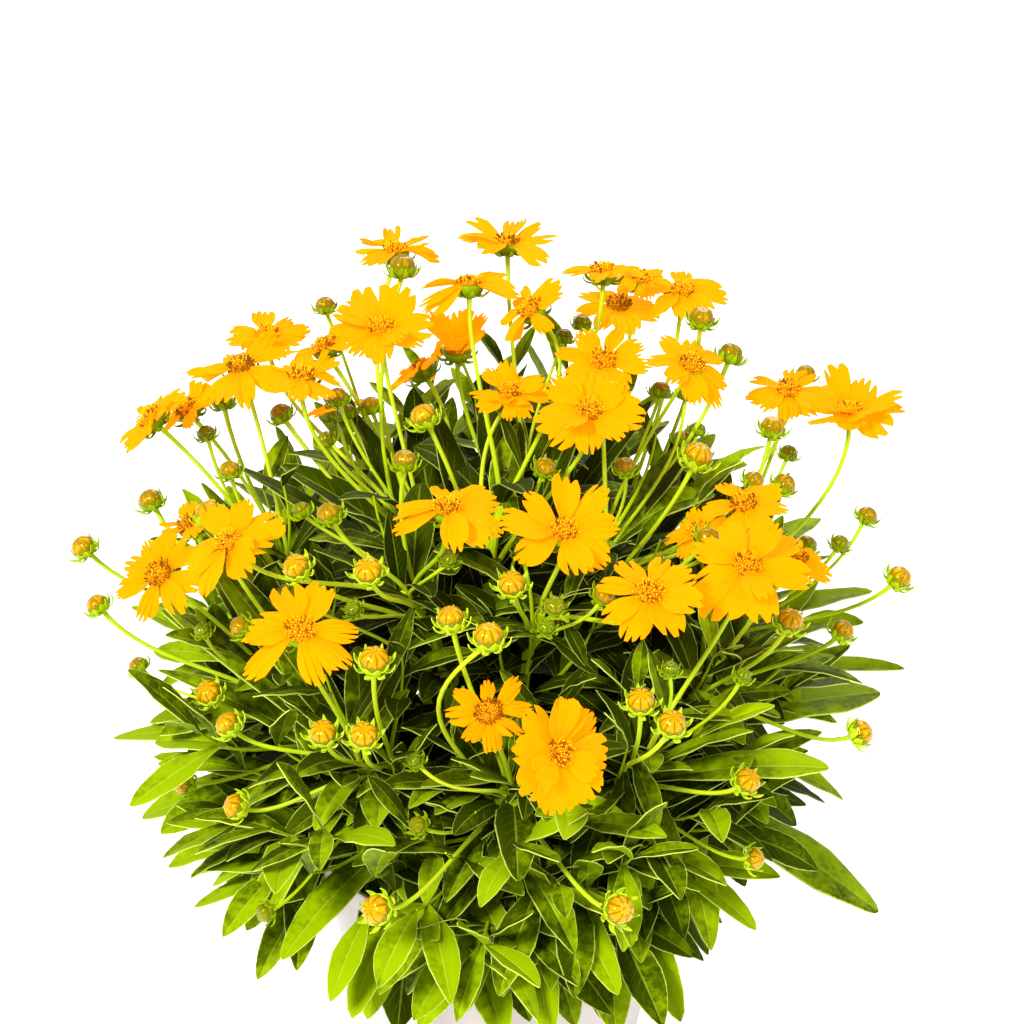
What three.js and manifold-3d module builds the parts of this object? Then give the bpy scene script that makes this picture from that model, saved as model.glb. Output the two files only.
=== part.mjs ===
// Coreopsis (tickseed) in full flower, in a round nursery pot with its soil.
//
// Millimetres, +Z up, origin at the centre of the pot's base, front towards -Y. A bearing is an
// angle in the plan, in degrees: 0 is the front (-Y), 90 the right (+X), 180 the back.
//
// The plant is leafy shoots that stand in the soil. Each shoot carries pairs of leaves, each pair
// square to the last, and long bare stalks that end in a bloom or in a bud. A shoot with its
// leaves, stalks, buds and bracts is one green body, and each yellow bloom is a body of its own.

import * as THREE from "three";
import { mergeVertices } from "three/addons/utils/BufferGeometryUtils.js";
import Module from "manifold-3d";

const wasm = await Module();
wasm.setup();

// ---- Driving dimensions -------------------------------------------------------------------

const GAP = 0.3; // clearance between pieces that touch

const POT = {
  height: 150,
  baseRadius: 68,
  wallTopRadius: 89.5, // outside of the wall, just under the rim band
  rimBandHeight: 14,
  rimRadius: 95,
  bandRadius: 92.5, // outside of the band at its lower edge
  wall: 2.5,
  floor: 3,
  sides: 24,
  drainHoles: 6,
  drainRadius: 5,
  drainSides: 6,
  drainReach: 45,
};

const SOIL = {
  top: 132,
  crown: 3, // how far the middle stands above the edge
  crownRadius: 45,
  holeDepth: 12,
  holeRadius: 5.8,
  holeSides: 5,
};

const STEM = {
  radius: 2.8,
  sides: 4,
  steps: 4,
  footReach: 5, // a foot's reach from the pot's axis: this much
  footShare: 0.42, // and this share of the reach of its fork
  footPull: 0.45, // share of the rise that starts off upright
  forkPull: 0.3, // share of the rise that ends along the lean of the fork
  forkLean: 35,
};

const STALK = {
  radius: 1.7,
  sides: 3,
  longSteps: 4,
  shortSteps: 3,
  shortLength: 180,
  rootLength: 5, // length over which it swells from its root in the stem
  spacing: 0.075, // share of the stem between one stalk and the next
  highest: 0.96, // share of the stem where its last stalk grows
  lowest: 0.36,
  uprightShare: 0.4, // how far its start is turned from the straight way to upright
  startPull: 0.36, // shares of the straight way that its ends run straight for
  endPull: 0.34,
  startBend: 0.7, // share of a sideways bend that its start takes
};
const BLOOM_NECK = 6; // from the end of the stalk to the disc of a bloom
const BUD_NECK = 3;
const BUD_TURN = 0.55; // how far a bud is turned from upright to the way its stalk comes
const ROOT_SHARE = 0.12; // share of a leaf or stalk that may cross its neighbours' roots
const HEAD_SPREAD = 0.62; // reach of the best fork under a head, as a share of the head's own
const SHOOT_CHOICES = 4; // shoots that a head may grow from

const DISC = { radius: 6.5, height: 3.4, top: 0.5, under: -0.6 };
const PETAL = {
  count: 8,
  valleyRadius: 8.4, // where a petal parts from its neighbours
  bellyShare: 0.62,
  thickness: 1,
  shortening: 0.14, // share of its length that a petal may lack
  flutter: 0.14, // slope that a petal may have beyond its bloom's, either way
  droop: 1.2, // how far its tip hangs
  teeth: [[0.92, -0.82], [0.9, -0.36], [1, 0], [0.9, 0.36], [0.92, 0.82]], // reach, place across
};
const CUP = { tipRadius: 9, tipDrop: 3.4, notchRadius: 4.6, notchDrop: 4.9 };
const CUP_TOP = { radius: 6.2, drop: 0.95 };
const BUD = { size: 11, tipRadius: 8, tipDrop: 1.2, notchRadius: 4.2, notchDrop: 3 };
const BUD_GLOBE = { radius: 5.6, waist: 0.8, crownRadius: 3, top: 5 };
const BRACTS = 5; // bracts round a bud or under a bloom

const LEAF = {
  firstPair: 0.15, // share of the stem's length where the lowest pair grows
  pairStep: 0.2,
  pairs: 5,
  innerReach: 60, // a shoot that forks nearer the axis than this
  innerFirst: 2, // starts with this pair
  turns: 45, // bearing of a pair from the bearing of its shoot
  turnSpread: 16,
  lowLength: 86, // length at the foot of the stem
  topLength: 58, // and at its fork
  lengthSpread: 0.16,
  widthShare: 0.12, // half the width, as a share of the length
  widthSpread: 0.16,
  lowRise: 34, // angles above level of its two halves, at the foot of the stem and at its fork
  topRise: 58,
  riseSpread: 10,
  lowTipRise: -28,
  topTipRise: 14,
  tipSpread: 14,
  rollSpread: 34, // turn about the midrib at the tip, either way
  belly: 0.54, // where it is widest, as a share of its length
  longBelly: 0.64, // the same for a leaf that reaches out
  blunt: 0.8, // under 1, so that both ends are full
  sections: [0.27, 0.66],
  longSections: [0.22, 0.5, 0.8],
  keel: 1.5, // depth of the midrib under the edges
  groove: 0.3, // depth of the groove over the midrib
  rootDepth: 1.2, // how far the root goes past the middle of the stem
  crownShare: 0.9, // share of the stem's length where its crown of single leaves grows
  crownTurns: [0, 74, -74], // their bearings, from the bearing of the shoot
  crownLift: -22, // how much flatter they stand than a pair would there
  edgeRoom: 7, // room kept beside an edge, in gaps
  keelRoom: 2.5, // room kept under the midrib, in gaps
};

// How a leaf that would cross another body is bent: turn and lift in degrees, first clear one.
const LEAF_BENDS = [[0, 0], [14, 8], [-14, 8], [28, -8], [-28, -8], [0, 20], [44, 12], [-44, 12]];
// How a leaf that reaches out is bent: its extra rise, in mm.
const REACHING_LIFTS = [0, 8, -8, 16, 26, 38];
// How a stalk is bent: sideways, in mm.
const STALK_BENDS = [0, 9, -9, 18, -18, 28, -28, 40, -40];

// Where the repeatable draws of the leaves and of the blooms start.
const LEAF_SEED = 1000;
const SEEDS_PER_SHOOT = 40;
const BLOOM_SEED = 500;

const WELD = 1e-4; // points nearer than this are one
const TOUCH = 1e-4; // volume that two clear solids may share, in cubic mm
const SMOOTHING = 0.01; // how far joining may move a surface

// Forks of the shoots: bearing, reach from the pot's axis, height.
const SHOOTS = [
  [4, 98, 226], [38, 100, 222], [70, 98, 232], [104, 100, 228], [146, 96, 222],
  [184, 98, 224], [218, 96, 226], [254, 100, 230], [288, 100, 224], [322, 98, 226],
  [22, 50, 284], [92, 52, 290], [164, 48, 298], [236, 50, 292], [308, 52, 286],
  [150, 6, 316],
];

// Blooms: x, y, z of the disc; bearing and angle of the lean; radius; rise of the petals in degrees.
const BLOOMS = [
  [-48, 90, 396, 180, 6, 22, 6], [4, 80, 404, 180, 6, 26, 8], [-13, 45, 398, 180, 16, 25, -12],
  [14, 35, 390, 290, 38, 21, 4], [47, 60, 398, 180, 8, 21, -4], [67, 112, 373, 90, 8, 19, 0],
  [55, 74, 375, 0, 12, 22, 4], [84, 75, 382, 0, 8, 21, 2], [-51, 25, 385, 0, 18, 25, 8],
  [-107, 70, 362, 0, 10, 21, 14], [-115, 35, 362, 300, 12, 29, 4], [-86, 15, 367, 60, 3, 20, 8],
  [-153, 10, 349, 280, 40, 21, 6], [-142, 40, 339, 290, 28, 18, 14], [-80, 60, 361, 270, 20, 17, 4],
  [-19, 55, 362, 0, 6, 16, 52], [-37, 70, 345, 230, 48, 20, 4], [-77, 75, 322, 200, 30, 17, 4],
  [5, 5, 363, 350, 20, 19, 16], [46, 20, 372, 0, 26, 22, 12], [39, -20, 367, 350, 26, 24, 4],
  [85, 25, 368, 30, 20, 21, -4], [133, 55, 341, 0, 15, 21, 10], [159, 35, 340, 350, 4, 28, 16],
  [-20, -70, 348, 0, 5, 26, -4], [27, -75, 340, 0, 22, 26, 10], [-140, -65, 314, 330, 38, 24, 6],
  [-109, -75, 335, 300, 30, 26, 2], [-133, -25, 316, 270, 24, 17, 10], [-77, -115, 318, 0, 24, 27, 2],
  [60, -105, 329, 0, 20, 23, 4], [104, -35, 331, 330, 16, 21, 8], [87, -25, 311, 300, 34, 17, 4],
  [101, -80, 327, 0, 24, 27, 2], [126, -45, 311, 60, 20, 18, 2], [-3, -125, 286, 350, 28, 19, 12],
  [24, -150, 285, 42, 58, 26, 4], [-60, 138, 228, 200, 30, 22, 4], [58, 140, 230, 170, 26, 23, 4],
  [0, 165, 200, 180, 44, 21, 4], [-104, 116, 218, 232, 34, 22, 6], [112, 114, 224, 128, 32, 23, 4],
];

// Buds: x, y, z of the middle; width of the globe.
const BUDS = [
  [-186, 0, 289, 11], [-178, -20, 271, 10], [-158, 20, 302, 11], [-165, -10, 232, 9],
  [-123, -70, 258, 11], [-113, -85, 252, 11], [-139, -60, 203, 10], [-111, -95, 217, 11],
  [-69, -125, 276, 11], [-52, -135, 282, 11], [-48, -120, 307, 12], [-51, -95, 333, 11],
  [-81, -80, 326, 11], [-123, -35, 326, 11], [-129, 65, 330, 10], [-81, 85, 370, 9],
  [-32, 0, 354, 12], [-18, -110, 320, 11], [-3, -120, 318, 12], [6, -95, 327, 11],
  [-47, -165, 220, 12], [48, -165, 220, 12], [56, -135, 298, 11], [68, -140, 291, 11],
  [102, -115, 245, 11], [162, -40, 216, 12], [149, -45, 273, 10], [180, -5, 276, 11],
  [168, 20, 294, 9], [121, -75, 297, 11], [122, 20, 339, 11], [105, 50, 361, 11],
  [90, 40, 383, 11], [143, 70, 342, 9], [86, -10, 340, 13], [108, -110, 201, 9],
  [-43, 58, 400, 12], [-100, 130, 240, 11], [25, 160, 262, 11], [90, 140, 240, 10],
  [150, 70, 250, 10],
];

// Leaves that reach out of the bush: shoot, share of the stem, x, y, z of the tip, half width, rise.
const REACHING_LEAVES = [
  [8, 0.42, -169, -20, 153, 13, 20], [8, 0.62, -183, 0, 185, 8, 16], [9, 0.5, -158, -30, 196, 8, 14],
  [9, 0.3, -140, -62, 153, 8, 16], [9, 0.2, -139, -66, 138, 7, 20], [3, 0.7, 193, 20, 211, 7, 8],
  [3, 0.9, 176, 30, 248, 7, 10], [2, 0.72, 178, 0, 211, 15, 6], [1, 0.88, 139, -95, 237, 11, 8],
  [2, 0.4, 175, -60, 130, 16, 22], [1, 0.4, 111, -112, 164, 8, 20], [0, 0.16, 22, -152, 140, 9, 26],
  [0, 0.3, -14, -150, 152, 9, 24], [9, 0.14, -62, -138, 138, 10, 26], [9, 0.34, -92, -124, 158, 9, 20],
  [1, 0.14, 78, -136, 134, 10, 26], [0, 0.42, 50, -150, 162, 9, 20], [4, 0.16, 84, 130, 140, 10, 24],
  [5, 0.16, 4, 154, 142, 9, 24], [6, 0.16, -80, 134, 140, 10, 24],
  [5, 0.5, 10, 165, 205, 9, 14], [5, 0.72, -30, 158, 240, 8, 10], [4, 0.5, 110, 122, 200, 9, 14],
  [4, 0.72, 75, 150, 236, 8, 10], [6, 0.5, -112, 120, 200, 9, 14], [6, 0.72, -85, 142, 238, 8, 10],
];

// ---- Small helpers ------------------------------------------------------------------------

const radians = THREE.MathUtils.degToRad;
const lerp = THREE.MathUtils.lerp;
const UP = new THREE.Vector3(0, 0, 1);

// A repeatable stream of numbers from 0 to 1.
function seeded(seed) {
  let state = seed >>> 0;
  return () => {
    state = (state + 0x6d2b79f5) >>> 0;
    let mixed = state;
    mixed = Math.imul(mixed ^ (mixed >>> 15), mixed | 1);
    mixed ^= mixed + Math.imul(mixed ^ (mixed >>> 7), mixed | 61);
    return ((mixed ^ (mixed >>> 14)) >>> 0) / 4294967296;
  };
}

// A number within spread of zero, either way.
const either = (draw, spread) => (draw() * 2 - 1) * spread;

// The unit vector in the plan at a bearing, and the one square to it, to its left seen from above.
const outward = (bearing) => (
  new THREE.Vector3(Math.sin(radians(bearing)), -Math.cos(radians(bearing)), 0)
);
const sideways = (bearing) => outward(bearing + 90);

const bearingOf = (v) => THREE.MathUtils.radToDeg(Math.atan2(v.x, -v.y));

// The direction that leans from upright by an angle, towards a bearing.
function leaning(bearing, angle) {
  const level = outward(bearing).multiplyScalar(Math.sin(radians(angle)));
  return level.addScaledVector(UP, Math.cos(radians(angle)));
}

// The frame of a head at a point: +Z the way it faces, +X level.
function headFrame(at, facing) {
  const level = sideways(bearingOf(facing));
  const third = new THREE.Vector3().crossVectors(facing, level);
  return new THREE.Matrix4().makeBasis(level, third, facing).setPosition(at);
}

// ---- Solids -------------------------------------------------------------------------------

// A closed geometry as a solid that can be joined and cut.
function solidFrom(geometry) {
  const bare = geometry.clone();
  bare.deleteAttribute("normal");
  bare.deleteAttribute("uv");
  const merged = mergeVertices(bare, WELD);
  return new wasm.Manifold(new wasm.Mesh({
    numProp: 3,
    vertProperties: new Float32Array(merged.attributes.position.array),
    triVerts: new Uint32Array(merged.index.array),
  }));
}

function geometryFrom(solid) {
  const mesh = solid.getMesh();
  const geometry = new THREE.BufferGeometry();
  geometry.setAttribute("position", new THREE.BufferAttribute(mesh.vertProperties, 3));
  geometry.setIndex(new THREE.BufferAttribute(mesh.triVerts, 1));
  return geometry;
}

function geometryOf(points, faces, frame) {
  const geometry = new THREE.BufferGeometry().setFromPoints(points);
  geometry.setIndex(faces.flat());
  return frame ? geometry.applyMatrix4(frame) : geometry;
}

function lathe(profile, sides) {
  const points = profile.map(([radius, height]) => new THREE.Vector2(radius, height));
  return new THREE.LatheGeometry(points, sides).rotateX(Math.PI / 2);
}

function tube(curve, radius, sides, steps) {
  const corners = Array.from({ length: sides }, (_, i) => {
    const angle = (i * 2 * Math.PI) / sides;
    return new THREE.Vector2(radius * Math.cos(angle), radius * Math.sin(angle));
  });
  const options = { extrudePath: curve, steps, bevelEnabled: false };
  return new THREE.ExtrudeGeometry(new THREE.Shape(corners), options);
}

function middleOf(points, ring) {
  const sum = ring.reduce((total, index) => total.add(points[index]), new THREE.Vector3());
  return sum.divideScalar(ring.length);
}

// Joins one ring of points to the next, which may have more or fewer points.
function bridge(points, lower, upper) {
  const [lowMiddle, highMiddle] = [middleOf(points, lower), middleOf(points, upper)];
  const first = points[lower[0]].clone().sub(lowMiddle);
  const turned = upper.map((index) => points[index].clone().sub(highMiddle).angleTo(first));
  const nearest = lower.length === upper.length ? 0 : turned.indexOf(Math.min(...turned));
  const low = (i) => lower[i % lower.length];
  const high = (j) => upper[(nearest + j) % upper.length];
  const faces = [];
  let [i, j] = [0, 0];
  const lowerSteps = lower.length > 1 ? lower.length : 0;
  const upperSteps = upper.length > 1 ? upper.length : 0;
  while (i < lowerSteps || j < upperSteps) {
    const lowerIsNext = (i + 0.5) * upperSteps < (j + 0.5) * lowerSteps;
    if (j >= upperSteps || (i < lowerSteps && lowerIsNext)) {
      faces.push([low(i), low(i + 1), high(j)]);
      i += 1;
    } else {
      faces.push([low(i), high(j + 1), high(j)]);
      j += 1;
    }
  }
  return faces;
}

// A closed body through rings of points, which starts and ends in a flat ring or a single point.
function lofted(rings) {
  const points = rings.flat();
  let start = 0;
  const indices = rings.map((ring) => {
    const first = start;
    start += ring.length;
    return ring.map((_, i) => first + i);
  });
  const faces = [];
  indices.slice(1).forEach((ring, i) => faces.push(...bridge(points, indices[i], ring)));
  const [first, last] = [indices[0], indices.at(-1)];
  for (let i = 1; i + 1 < first.length; i += 1) faces.push([first[0], first[i + 1], first[i]]);
  for (let i = 1; i + 1 < last.length; i += 1) faces.push([last[0], last[i], last[i + 1]]);
  return geometryOf(points, faces);
}

// ---- Pot and soil -------------------------------------------------------------------------

// Outside radius of the pot's wall at a height.
function wallRadius(height) {
  return lerp(POT.baseRadius, POT.wallTopRadius, height / (POT.height - POT.rimBandHeight));
}

// The shell of the pot, with drain holes through its floor.
function potSolid() {
  const band = POT.height - POT.rimBandHeight;
  const inside = (height) => wallRadius(height) - POT.wall;
  let pot = solidFrom(lathe([
    [0, 0], [POT.baseRadius, 0], [wallRadius(band), band], [POT.bandRadius, band],
    [POT.rimRadius, POT.height], [POT.rimRadius - POT.wall, POT.height],
    [inside(band), band - POT.wall],
    [inside(POT.floor), POT.floor], [0, POT.floor],
  ], POT.sides));
  for (let i = 0; i < POT.drainHoles; i += 1) {
    const place = outward((i + 0.5) * (360 / POT.drainHoles)).multiplyScalar(POT.drainReach);
    const size = [POT.drainRadius, POT.drainRadius, POT.floor * 3, POT.drainSides];
    const hole = new THREE.CylinderGeometry(...size);
    hole.rotateX(Math.PI / 2).translate(place.x, place.y, POT.floor / 2);
    pot = pot.subtract(solidFrom(hole));
  }
  return pot;
}

// The soil that fills the pot, with a plain hole for the foot of each stem.
function soilSolid(stems) {
  const low = POT.floor + GAP;
  const edge = (height) => wallRadius(height) - POT.wall - GAP;
  let soil = solidFrom(lathe([
    [0, low], [edge(low), low], [edge(SOIL.top), SOIL.top],
    [SOIL.crownRadius, SOIL.top + SOIL.crown], [0, SOIL.top + SOIL.crown],
  ], POT.sides));
  for (const { v0: foot } of stems) {
    const bottom = foot.clone().addScaledVector(UP, -GAP);
    const top = foot.clone().addScaledVector(UP, SOIL.holeDepth * 2);
    const hole = tube(new THREE.LineCurve3(bottom, top), SOIL.holeRadius, SOIL.holeSides, 1);
    soil = soil.subtract(solidFrom(hole));
  }
  return soil;
}

// ---- Shoots and stalks --------------------------------------------------------------------

// The stem of a shoot: upright out of the soil, then leaning out to its fork.
function stemCurve([bearing, reach, height]) {
  const footReach = STEM.footReach + reach * STEM.footShare;
  const foot = outward(bearing).multiplyScalar(footReach);
  foot.setZ(SOIL.top + SOIL.crown - SOIL.holeDepth);
  const fork = outward(bearing).multiplyScalar(reach).setZ(height);
  const rise = height - foot.z;
  return new THREE.CubicBezierCurve3(
    foot,
    foot.clone().addScaledVector(UP, rise * STEM.footPull),
    fork.clone().addScaledVector(leaning(bearing, STEM.forkLean), -rise * STEM.forkPull),
    fork,
  );
}

// The stalk from a point of the stem to a head, bent sideways by some millimetres.
function stalkCurve(stem, share, end, facing, bend) {
  const root = stem.getPoint(share);
  const chord = end.distanceTo(root);
  const start = end.clone().sub(root).normalize().lerp(UP, STALK.uprightShare).normalize();
  const side = new THREE.Vector3().crossVectors(end.clone().sub(root), UP).normalize();
  return new THREE.CubicBezierCurve3(
    root,
    root.clone().addScaledVector(start, chord * STALK.startPull)
      .addScaledVector(side, bend * STALK.startBend),
    end.clone().addScaledVector(facing, -chord * STALK.endPull).addScaledVector(side, bend),
    end,
  );
}

// ---- Leaves -------------------------------------------------------------------------------

// Half the width of a leaf along its length, for a widest place at belly.
function leafWidth(share, belly) {
  const warped = share ** (Math.log(0.5) / Math.log(belly));
  return Math.sin(Math.PI * warped) ** LEAF.blunt;
}

// The faces of a blade between two of its sections, each a ring of keel, right edge, groove and
// left edge. The upper face and the underside are split into triangles alike.
function bladeFaces(low, high) {
  return low.flatMap((here, i) => {
    const next = (i + 1) % low.length;
    return i % 2 === 0
      ? [here, low[next], high[next], here, high[next], high[i]]
      : [here, low[next], high[i], low[next], high[next], high[i]];
  });
}

// A leaf on an arched midrib, grooved above and keeled below, from a point in the stem to its tip.
function leafSurface(leaf, from, grow) {
  const { midrib, bearing, halfWidth, belly, roll } = leaf;
  const level = sideways(bearing);
  const root = from > 0 ? midrib.getPoint(from)
    : midrib.getPoint(0).addScaledVector(midrib.getTangent(0), -LEAF.rootDepth);
  const sections = leaf.sections.map((share) => {
    const along = midrib.getTangent(share);
    const normal = new THREE.Vector3().crossVectors(along, level).normalize();
    const turn = radians(roll * share);
    const across = level.clone().multiplyScalar(Math.cos(turn));
    across.addScaledVector(normal, Math.sin(turn));
    normal.multiplyScalar(Math.cos(turn)).addScaledVector(level, -Math.sin(turn));
    const half = halfWidth * leafWidth(share, belly) + grow * LEAF.edgeRoom;
    const at = (side, depth) => (
      midrib.getPoint(share).addScaledVector(across, side).addScaledVector(normal, -depth)
    );
    const keel = at(0, LEAF.keel + grow * LEAF.keelRoom);
    return [keel, at(half, -grow), at(0, LEAF.groove - grow), at(-half, -grow)];
  });
  const ring = (i) => [1, 2, 3, 4].map((corner) => i * 4 + corner);
  const last = ring(sections.length - 1);
  const tip = last.at(-1) + 1;
  const faces = ring(0).flatMap((corner, i) => [0, ring(0)[(i + 1) % 4], corner]);
  sections.slice(1).forEach((_, i) => faces.push(...bladeFaces(ring(i), ring(i + 1))));
  last.forEach((corner, i) => faces.push(corner, last[(i + 1) % 4], tip));
  return geometryOf([root, ...sections.flat(), midrib.getPoint(1)], faces);
}

// A leaf of a shoot, by its number there: its share of the stem and its bearing from the shoot's,
// and how it is turned and lifted.
function stemLeaf(shoot, number, share, place, turn, lift) {
  const draw = seeded(LEAF_SEED + shoot.index * SEEDS_PER_SHOOT + number);
  const bearing = shoot.bearing + place + either(draw, LEAF.turnSpread) + turn;
  const fullLength = lerp(LEAF.lowLength, LEAF.topLength, share);
  const length = fullLength * (1 + either(draw, LEAF.lengthSpread));
  const halfWidth = length * LEAF.widthShare * (1 + either(draw, LEAF.widthSpread));
  const rise = lerp(LEAF.lowRise, LEAF.topRise, share) + either(draw, LEAF.riseSpread) + lift;
  const tipRise = lerp(LEAF.lowTipRise, LEAF.topTipRise, share) + either(draw, LEAF.tipSpread) + lift;
  const roll = either(draw, LEAF.rollSpread);
  const root = shoot.stem.getPoint(share);
  const bendPoint = root.clone().addScaledVector(leaning(bearing, 90 - rise), length * 0.5);
  const tip = bendPoint.clone().addScaledVector(leaning(bearing, 90 - tipRise), length * 0.5);
  const midrib = new THREE.QuadraticBezierCurve3(root, bendPoint, tip);
  const { belly, sections } = LEAF;
  return { midrib, bearing, halfWidth, belly, roll, sections };
}

// The leaf of a pair: which pair on the stem, which side, and how it is bent.
function pairedLeaf(shoot, pair, side, [turn, lift]) {
  const share = Math.min(1, LEAF.firstPair + LEAF.pairStep * pair);
  const place = (pair % 2) * 90 + side * 180 + LEAF.turns;
  return stemLeaf(shoot, pair * 2 + side, share, place, turn, lift);
}

// A leaf of the crown that spreads just under the fork, and how it is bent.
function crownLeaf(shoot, number, [turn, lift]) {
  const place = LEAF.crownTurns[number];
  const count = LEAF.pairs * 2 + number;
  return stemLeaf(shoot, count, LEAF.crownShare, place, turn, LEAF.crownLift + lift);
}

// A leaf from a share of the stem out to a given tip, arched by a rise.
function reachingLeaf(shoot, share, tip, halfWidth, rise) {
  const root = shoot.stem.getPoint(share);
  const bendPoint = root.clone().lerp(tip, 0.5).addScaledVector(UP, rise);
  const midrib = new THREE.QuadraticBezierCurve3(root, bendPoint, tip);
  const bearing = bearingOf(tip.clone().sub(root));
  const { longBelly: belly, longSections: sections } = LEAF;
  return { midrib, bearing, halfWidth, belly, roll: 0, sections };
}

// ---- Heads --------------------------------------------------------------------------------

const polar = (radius, angle, height) => (
  new THREE.Vector3(radius * Math.cos(angle), radius * Math.sin(angle), height)
);

// A bloom in its own frame: a ring of petals with toothed tips round a raised disc. The points
// are the disc's top and underside, then for each petal the edge of the disc, the valley beside
// it, the belly's top and underside, and the teeth.
function bloomPoints(bloom) {
  const draw = seeded(BLOOM_SEED + bloom.index);
  const half = Math.PI / PETAL.count;
  const spin = draw() * 2 * Math.PI;
  const rise = Math.tan(radians(bloom.rise));
  const points = [polar(0, 0, DISC.height), polar(0, 0, DISC.under)];
  for (let petal = 0; petal < PETAL.count; petal += 1) {
    const middle = spin + petal * 2 * half;
    const length = bloom.radius * (1 - draw() * PETAL.shortening);
    const slope = rise + either(draw, PETAL.flutter);
    const heightAt = (radius) => (
      (radius - DISC.radius) * slope - ((radius / bloom.radius) ** 4) * PETAL.droop
    );
    const belly = length * PETAL.bellyShare;
    points.push(
      polar(DISC.radius, middle - half, DISC.top),
      polar(PETAL.valleyRadius, middle - half, (PETAL.valleyRadius - DISC.radius) * rise),
      polar(belly, middle, heightAt(belly) + PETAL.thickness / 2),
      polar(belly, middle, heightAt(belly) - PETAL.thickness / 2),
      ...PETAL.teeth.map(([reach, across]) => (
        polar(length * reach, middle + half * across, heightAt(length * reach))
      )),
    );
  }
  return points;
}

// A bloom set in its frame. A petal's top and underside share its outline and are split alike.
function bloomSurface(bloom, frame) {
  const points = bloomPoints(bloom);
  const each = (points.length - 2) / PETAL.count;
  const faces = [];
  const fan = (hub, rim) => rim.forEach((corner, i) => faces.push(hub, corner, rim[(i + 1) % rim.length]));
  for (let petal = 0; petal < PETAL.count; petal += 1) {
    const [edge, valley, bellyTop, bellyUnder, ...teeth] = Array.from(
      { length: each },
      (_, i) => 2 + petal * each + i,
    );
    const nextEdge = 2 + ((petal + 1) % PETAL.count) * each;
    const nextValley = nextEdge + 1;
    faces.push(0, edge, nextEdge, 1, nextValley, valley);
    fan(bellyTop, [edge, valley, ...teeth, nextValley, nextEdge]);
    fan(bellyUnder, [valley, ...teeth, nextValley].reverse());
  }
  return geometryOf(points, faces, frame);
}

// The ring of bract tips and the notches between them.
function bractStar({ tipRadius, tipDrop, notchRadius, notchDrop }, scale) {
  return Array.from({ length: BRACTS * 2 }, (_, i) => (i % 2 === 0
    ? polar(tipRadius * scale, (i * Math.PI) / BRACTS, -tipDrop * scale)
    : polar(notchRadius * scale, (i * Math.PI) / BRACTS, -notchDrop * scale)));
}

function ringAt(radius, height) {
  return Array.from({ length: BRACTS }, (_, i) => polar(radius, (2 * i * Math.PI) / BRACTS, height));
}

// The green cup of bracts under a bloom, as rings in the head's own frame.
const cupRings = () => [bractStar(CUP, 1), ringAt(CUP_TOP.radius, -CUP_TOP.drop)];

// A bud, a globe in its cup of bracts, as rings in the head's own frame.
function budRings(size) {
  const scale = size / BUD.size;
  const crown = ringAt(BUD_GLOBE.crownRadius * scale, BUD_GLOBE.top * scale);
  return [bractStar(BUD, scale), ringAt(BUD_GLOBE.radius * scale, BUD_GLOBE.waist * scale), crown];
}

// A stalk and its head as one body, from a share of the stalk's length to the bud or the cup.
function headedStalk(head, curve, facing, from, grow) {
  const isShort = curve.v0.distanceTo(curve.v3) < STALK.shortLength;
  const steps = isShort ? STALK.shortSteps : STALK.longSteps;
  const { normals, binormals } = curve.computeFrenetFrames(steps, false);
  const start = Math.max(from, STALK.rootLength / curve.getLength());
  const rings = normals.map((normal, step) => {
    const middle = curve.getPointAt(Math.max(start, step / steps));
    return Array.from({ length: STALK.sides }, (_, side) => {
      const angle = (side * 2 * Math.PI) / STALK.sides;
      return middle.clone()
        .addScaledVector(normal, (STALK.radius + grow) * Math.cos(angle))
        .addScaledVector(binormals[step], (STALK.radius + grow) * Math.sin(angle));
    });
  });
  if (from === 0) rings.unshift([curve.v0]);
  const frame = headFrame(head.at, facing);
  const headRings = head.size ? budRings(head.size) : cupRings();
  headRings.forEach((ring) => rings.push(ring.map((point) => point.applyMatrix4(frame))));
  return lofted(rings);
}

// ---- Putting the plant together -----------------------------------------------------------

// Every solid placed so far, with the node it belongs to.
const placed = [];

function place(node, solid, isStem = false) {
  placed.push({ node, solid, isStem, box: solid.boundingBox() });
}

const apart = (a, b) => (
  [0, 1, 2].some((axis) => a.min[axis] > b.max[axis] || b.min[axis] > a.max[axis])
);

// Whether a solid crosses one of the placed pieces that a test picks.
function crosses(solid, isPicked) {
  const box = solid.boundingBox();
  return placed.some((other) => (
    isPicked(other) && !apart(box, other.box) && solid.intersect(other.solid).volume() > TOUCH
  ));
}

// Whether a leaf or stalk can stand where it is: clear of all other nodes, and past its root
// clear of its own shoot too. shape(from, grow) makes its solid.
function fits(node, shape, mindsItsOwn = true) {
  if (crosses(shape(0, GAP), (other) => other.node !== node)) return false;
  const isNeighbour = (other) => other.node === node && !other.isStem;
  return !mindsItsOwn || !crosses(shape(ROOT_SHARE, GAP), isNeighbour);
}

const nodeName = (kind, index) => `${kind}_${String(index + 1).padStart(2, "0")}`;

const shoots = SHOOTS.map((fork, index) => {
  const [bearing, reach] = fork;
  return { index, name: nodeName("shoot", index), bearing, reach, stem: stemCurve(fork), heads: 0 };
});

const blooms = BLOOMS.map(([x, y, z, bearing, lean, radius, rise], index) => {
  const at = new THREE.Vector3(x, y, z);
  const facing = leaning(bearing, lean);
  return { index, name: nodeName("bloom", index), at, facing, radius, rise, neck: BLOOM_NECK };
});

const buds = BUDS.map(([x, y, z, size]) => (
  { at: new THREE.Vector3(x, y, z), size, neck: BUD_NECK }
));

// A head grows from the shoots whose forks lie nearest under it, nearest first.
function shootsFor(head) {
  const under = head.at.clone().multiplyScalar(HEAD_SPREAD);
  const far = (shoot) => Math.hypot(shoot.stem.v3.x - under.x, shoot.stem.v3.y - under.y);
  return [...shoots].sort((a, b) => far(a) - far(b));
}

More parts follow.
